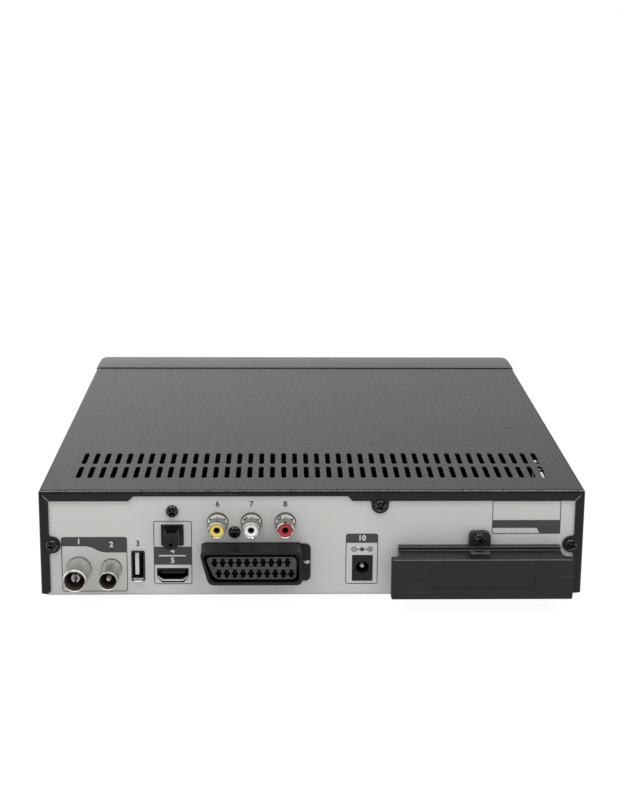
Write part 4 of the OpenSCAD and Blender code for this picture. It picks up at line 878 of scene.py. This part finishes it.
# the upper lip and a ring round the socket are black: painted shade on the steel lip and in the gap round the
# socket; the lower lip is whitened steel, a painted highlight
def makeUprightTrim():
    middle, half = panelBox("usb_shell")
    tongue, tongueHalf = panelBox("usb_tongue")
    dark, bright, strips = bmesh.new(), bmesh.new(), bmesh.new()
    edge, out = half.y - uprightTrim["lipIn"], uprightTrim["lipOut"]
    lip = [uprightTrim[key] for key in ("curl", "sweep", "thick")]
    setDown(dark, curledLip(uprightTrim["width"], edge, out, *lip, 1), middle.x, middle.y)
    wide, tall = (size / 2 for size in uprightTrim["shadeRing"])
    rim = [uprightTrim[key] for key in ("shadeCorner", "shadeLine", "shadeThick")]
    setDown(dark, frameShape(-wide, -tall, wide, tall, *rim), middle.x, middle.y)
    setDown(bright, curledLip(uprightTrim["brightWidth"], -edge, out, *lip, -1), middle.x, middle.y)
    width, height, depth = uprightTrim["strip"]
    tip = tongue.z + tongueHalf.z - uprightTrim["stripBack"]
    for up in uprightTrim["strips"]:
        strip = roundedBar(0, up, -depth / 2, width, height, depth, uprightTrim["stripEdge"])
        setDown(strips, strip, tongue.x + tongueHalf.x, middle.y, tip)
    panelPiece(dark, "upright_socket_shade", finishes["black_plastic"])
    panelPiece(bright, "upright_socket_lip", paintedHighlightSteel)
    panelPiece(strips, "upright_socket_contacts", shadedContact)


pictureTrim = {"corners": ((-7.25, -0.6), (-4.8, -2.55), (4.8, -2.55), (7.25, -0.6)), "out": 0.15,
               "thick": 0.22, "flare": ((1.012, 1.05, 0.3), (1.012, 1.05, 0.15)),
               "shadeStart": (1.0, 1.02), "shadeGrow": (1.07, 1.5), "shadeThick": 0.1,
               "dots": (-2.4, 2.95), "dotRadius": 0.5, "dotSteps": (16, 8), "dotShape": (1.0, 0.6, 1.4),
               "dotUp": 0.5, "dotDepth": 1.7,
               "contactLine": (10.2, 0.22, 0.2), "contactEdge": 0.05, "contactUp": 0.05, "contactBack": 0.3}


def pictureEdge(grow, out):
    part = bmesh.new()
    points = [part.verts.new((right * grow[0], up * grow[1], out)) for right, up in pictureTrim["corners"]]
    for pair in zip(points, points[1:]):
        part.edges.new(pair)
    return part


def pictureLip():
    lip = pictureEdge((1.0, 1.0), pictureTrim["out"])
    edges = lip.edges[:]
    for right, up, out in pictureTrim["flare"]:
        made = bmesh.ops.extrude_edge_only(lip, edges=edges)
        edges, verts = raisedEdges(made), raisedVerts(made)
        bmesh.ops.scale(lip, verts=verts, vec=(right, up, 1.0))
        bmesh.ops.translate(lip, verts=verts, vec=(0, 0, out))
    asSheet(lip, pictureTrim["thick"])
    return lip


# a dark band round the lower edge of the opening: painted shadow under the socket
def pictureShade():
    shadeRing = pictureEdge(pictureTrim["shadeStart"], 0.0)
    verts = raisedVerts(bmesh.ops.extrude_edge_only(shadeRing, edges=shadeRing.edges[:]))
    bmesh.ops.scale(shadeRing, verts=verts, vec=(*pictureTrim["shadeGrow"], 1.0))
    thicken(shadeRing, pictureTrim["shadeThick"])
    return shadeRing


def makePictureTrim():
    middle, half = panelBox("hdmi_shell")
    tongue, tongueHalf = panelBox("hdmi_tongue")
    bright, dark, dull = bmesh.new(), bmesh.new(), bmesh.new()
    setDown(bright, pictureLip(), middle.x, middle.y)
    setDown(dark, pictureShade(), middle.x, middle.y)
    around, along = pictureTrim["dotSteps"]
    up = middle.y - half.y + pictureTrim["dotUp"]
    for right in pictureTrim["dots"]:
        dot = bmesh.new()
        bmesh.ops.create_uvsphere(dot, u_segments=around, v_segments=along, radius=pictureTrim["dotRadius"])
        bmesh.ops.scale(dot, verts=dot.verts, vec=pictureTrim["dotShape"])
        setDown(bright, dot, middle.x + right, up, -pictureTrim["dotDepth"])
    line = roundedBar(0, 0, 0, *pictureTrim["contactLine"], pictureTrim["contactEdge"])
    setDown(dull, line, tongue.x, middle.y + pictureTrim["contactUp"],
            tongue.z + tongueHalf.z - pictureTrim["contactBack"])
    panelPiece(bright, "picture_socket_lip", paintedHighlightSteel)
    panelPiece(dark, "picture_socket_shade", finishes["black_plastic"])
    panelPiece(dull, "picture_socket_contacts", shadedContact)


makeSplitSleeve()
makeBoreShade()
makeCentreRings()
makeCollarNotchShade()
makeUprightTrim()
makePictureTrim()
print("socket details made")


# bay cover: ridges in the finger scoop, coloured light as a painted highlight, and light beads along its
# edges, painted highlight lines

gripRidges = {"up": 32.18, "radius": 8.64, "height": 0.26, "root": 0.1, "width": 0.22, "sweep": 62,
              "steps": 20, "outs": (3.9, 5.5, 7.1)}
highlightBead = {"size": 0.24, "round": 0.3}
highlightEdges = {"plate": (79.8, 24.76, 14.36, 83.9), "rim": (79.8, 26.27, 3.12, 77.2),
               "rimFoot": (79.8, 24.7, 3.24, 76.8)}


def makeGripRidges():
    whole = bmesh.new()
    middle = panelBox("bay_screw")[0]
    radius, wide, sweep = gripRidges["radius"], gripRidges["width"] / 2, gripRidges["sweep"]
    root, crest = radius + gripRidges["root"], radius - gripRidges["height"]
    for out in gripRidges["outs"]:
        profile = ((root, out - wide), (crest, out), (root, out + wide))
        ridge = turnedSector(profile, -90 - sweep / 2, sweep, gripRidges["steps"])
        setDown(whole, ridge, middle.x, gripRidges["up"])
    # thin light bars along the plate's top edge and the rim: painted highlight lines
    size = highlightBead["size"]
    for right, up, out, length in highlightEdges.values():
        join(whole, roundedBar(right, up, out, length, size, size, size * highlightBead["round"]))
    panelPiece(whole, "bay_ridges_and_highlight_beads", paintedHighlightPlastic, "bay_cover")


makeGripRidges()
print("bay cover finished")


# earthing strip on the drive cage, of whitened steel with a painted highlight, bright under the last vents

earthStrip = {"right": 112.7, "foot": 6.0, "step": 1, "top": 52.7, "curl": 1.2, "thick": 0.5,
              "curlTurns": (0.5, 1.0, 1.57, 2.2), "rows": (-19.0, -26.4, -29.8, -31.8, -40.0, -42.5),
              "notches": (1, 3), "notchUp": 44.0}


def makeEarthStrip():
    middle, half = panelBox("drive_cage")
    base = middle.y + half.y
    right, curl, rows, notchUp = (earthStrip[key] for key in ("right", "curl", "rows", "notchUp"))
    crest = earthStrip["top"] - curl
    path = [(right - earthStrip["foot"], base), (right, base), (right, base + earthStrip["step"]),
            (right, notchUp), (right, crest)]
    path += [(right + curl * (1 - math.cos(angle)), crest + curl * math.sin(angle))
             for angle in earthStrip["curlTurns"]]
    part = bmesh.new()
    points = [part.verts.new((across, up, rows[0])) for across, up in path]
    edges = [part.edges.new(pair) for pair in zip(points, points[1:])]
    for near, far in zip(rows, rows[1:]):
        made = bmesh.ops.extrude_edge_only(part, edges=edges)
        edges = raisedEdges(made)
        bmesh.ops.translate(part, verts=raisedVerts(made), vec=(0, 0, far - near))
    notches = [(rows[index + 1], rows[index]) for index in earthStrip["notches"]]
    gone = []
    for face in part.faces:
        spot = face.calc_center_median()
        if spot.y > notchUp and any(far < spot.z < near for far, near in notches):
            gone.append(face)
    bmesh.ops.delete(part, geom=gone, context="FACES")
    asSheet(part, earthStrip["thick"])
    panelPiece(part, "cage_earth_strip", paintedHighlightSteel)


makeEarthStrip()
print("earthing strip made")


# dark bead in the seam between the front and the cover: painted shadow in the seam

seamShadowBead = {"gap": 0.7, "thick": 0.6, "tall": 1.0, "drop": 0.1, "endGap": 2.0, "edge": 0.12}


def makeSeamShadowBead():
    middle, half = panelBox("top_cover")
    up = middle.y + half.y - seamShadowBead["drop"]
    out = middle.z - half.z - seamShadowBead["gap"] / 2
    length = 2 * (half.x - seamShadowBead["endGap"])
    part = roundedBar(middle.x, up, out, length, *(seamShadowBead[key] for key in ("tall", "thick", "edge")))
    panelPiece(part, "seam_shadow_bead", finishes[slotOf["feet"]])


makeSeamShadowBead()
print("seam bead made")


# printed frames, bands and port numbers on the socket panel

ink = {"thick": 0.05, "lift": 0.01, "line": 0.38, "corner": 1.2, "slopeCorner": 2.6, "ringSteps": 24,
       "numberHeight": 3.8, "numberSteps": 4, "weight": 0.11}
printFrames = {"antenna": (-119.9, 2.4, -88.5, 30.3), "pictureAndLight": (-75.9, 6.1, -57.6, 38.4),
               "power": (15.9, 6.0, 31.4, 31.8), "plate": (85.8, 31.6, 118.7, 48.5)}
printBands = {"optical": ((-75.9, 16.1), (-57.6, 16.1), (-57.6, 25.3), (-75.9, 25.3)),
              "plateBar": ((85.8, 34.6), (118.7, 34.6), (118.7, 38.6), (85.8, 38.6)),
              "plateEnd": ((108.8, 31.6), (118.7, 31.6), (118.7, 34.7), (107.4, 34.7))}
antennaHeader = ((-119.9, 25.6), (-106.2, 25.6), (-101.0, 22.4), (-88.5, 22.4), (-88.5, 30.3), (-119.9, 30.3))
powerHeader = ((15.9, 27.1), (31.4, 27.1), (31.4, 31.8), (15.9, 31.8))
dividerLine = ((-73.4, 20.4), (-60.6, 20.4), (-60.6, 21.05), (-73.4, 21.05))
polarity = {"up": 23.8, "rings": ((19.9, 1.3), (23.75, 1.05), (27.6, 1.3)), "line": 0.4, "dot": 0.6,
            "links": (21.95, 25.55), "linkLength": 1.7}
darkNumbers = {"3": (-83.4, 26.9), "6": (-45.3, 46.8), "7": (-29.2, 46.8), "8": (-13.1, 46.8)}
lightNumbers = {"1": (-111.5, 28.0), "2": (-96.0, 26.4), "4": (-66.9, 23.2), "5": (-66.9, 18.2),
                "10": (23.65, 29.5)}
tabNumber = {"text": "9", "right": -2.95, "up": 17.8, "out": 1.0, "turn": -90}


def printShape(target, corners, rounds=(), base=0.0):
    part = flatShape(corners, rounds, base)
    thicken(part, ink["thick"])
    join(target, part)


def printBar(target, right, up, width, height):
    left, low = right - width / 2, up - height / 2
    printShape(target, ((left, low), (left + width, low), (left + width, low + height), (left, low + height)))


def printRing(target, right, up, radius, line):
    part = bmesh.new()
    bmesh.ops.create_circle(part, cap_ends=True, segments=ink["ringSteps"], radius=radius,
                            matrix=Matrix.Translation((right, up, 0)))
    if line:
        keepRim(part, line)
    thicken(part, ink["thick"])
    join(target, part)


def printNumber(target, text, right, up, base, turn=0.0):
    curve = bpy.data.curves.new("number", "FONT")
    curve.body = text
    curve.size = ink["numberHeight"]
    curve.offset = ink["weight"]
    curve.extrude = ink["thick"] / 2
    curve.resolution_u = ink["numberSteps"]
    curve.align_x = "CENTER"
    curve.align_y = "CENTER"
    holder = bpy.data.objects.new("number", curve)
    scene.collection.objects.link(holder)
    bpy.context.view_layer.update()
    mesh = bpy.data.meshes.new_from_object(holder.evaluated_get(bpy.context.evaluated_depsgraph_get()))
    mesh.transform(Matrix.Translation((right, up, base + ink["thick"] / 2))
                   @ Matrix.Rotation(math.radians(turn), 4, "Z"))
    target.from_mesh(mesh)
    bpy.data.objects.remove(holder)
    bpy.data.curves.remove(curve)
    bpy.data.meshes.remove(mesh)


def makePrints():
    dark = bmesh.new()
    for left, low, right, high in printFrames.values():
        join(dark, frameShape(left, low, right, high, ink["corner"], ink["line"], ink["thick"]))
    for corners in printBands.values():
        printShape(dark, corners, base=ink["lift"])
    printShape(dark, antennaHeader, ((ink["corner"], (4, 5)), (ink["slopeCorner"], (1, 2))), ink["lift"])
    printShape(dark, powerHeader, ((ink["corner"], (2, 3)),), ink["lift"])
    for right, radius in polarity["rings"]:
        printRing(dark, right, polarity["up"], radius, polarity["line"])
    for right in polarity["links"]:
        printBar(dark, right, polarity["up"], polarity["linkLength"], polarity["line"])
    (minus, big), (dot, small), (plus, big) = polarity["rings"]
    printRing(dark, dot, polarity["up"], small * polarity["dot"], 0)
    for right in (minus, plus):
        printBar(dark, right, polarity["up"], big, polarity["line"])
    printBar(dark, plus, polarity["up"], polarity["line"], big)
    for text, (right, up) in darkNumbers.items():
        printNumber(dark, text, right, up, 0.0)
    panelPiece(dark, "panel_print_dark", darkInk)
    light = bmesh.new()
    onBand = ink["thick"] + ink["lift"]
    printShape(light, dividerLine, base=onBand)
    for text, (right, up) in lightNumbers.items():
        printNumber(light, text, right, up, onBand)
    printNumber(light, *(tabNumber[key] for key in ("text", "right", "up", "out", "turn")))
    panelPiece(light, "panel_print_light", lightInk)


makePrints()
print("panel printed")


# front: signs on the buttons and the display's unlit digits

frontSigns = {"ring": (1.55, 2.0), "gap": 60, "steps": 30, "bar": (0.42, 1.9), "barSunk": 0.4,
              "sign": (3.0, 0.5)}


def makeSign(node, body, shapes):
    middle, half = frontBox(node)
    whole = bmesh.new()
    for shape in shapes:
        setDown(whole, shape, middle.x, middle.y, middle.z + half.z)
    whole.transform(onFront)
    asPiece(whole, node + "_sign", body, lightInk)


def signBar(right, up, width, height):
    bar = bmesh.new()
    printBar(bar, right, up, width, height)
    return bar


def makeFrontSigns():
    inner, outer = frontSigns["ring"]
    ring = turnedSector(((inner, 0), (outer, 0), (outer, ink["thick"]), (inner, ink["thick"])),
                        90 + frontSigns["gap"] / 2, 360 - frontSigns["gap"], frontSigns["steps"])
    width, height = frontSigns["bar"]
    bar = signBar(0, outer - height * frontSigns["barSunk"], width, height)
    makeSign("standby_button", "standby", (ring, bar))
    long, slim = frontSigns["sign"]
    makeSign("channel_down_button", "channel_down", (signBar(0, 0, long, slim),))
    makeSign("channel_up_button", "channel_up", (signBar(0, 0, long, slim), signBar(0, 0, slim, long)))


digits = {"places": (-1.5, -0.5, 0.5, 1.5), "pitch": 12.0, "wide": 5.2, "tall": 9.0, "line": 0.9, "gap": 0.35,
          "sunk": 0.6}


def makeDigits():
    middle, half = frontBox("led_display")
    wide, tall, line, gap = (digits[key] for key in ("wide", "tall", "line", "gap"))
    out = middle.z + half.z - digits["sunk"]
    whole = bmesh.new()
    for place in digits["places"]:
        centre = middle.x + place * digits["pitch"]
        for up in (-tall / 2, 0, tall / 2):
            setDown(whole, signBar(0, 0, wide - line - gap, line), centre, middle.y + up, out)
        for right in (-wide / 2, wide / 2):
            for up in (-tall / 4, tall / 4):
                setDown(whole, signBar(0, 0, line, tall / 2 - line - gap), centre + right, middle.y + up, out)
    whole.transform(onFront)
    asPiece(whole, "display_digits", "chassis", segmentTint)


makeFrontSigns()
makeDigits()
print("front finished")
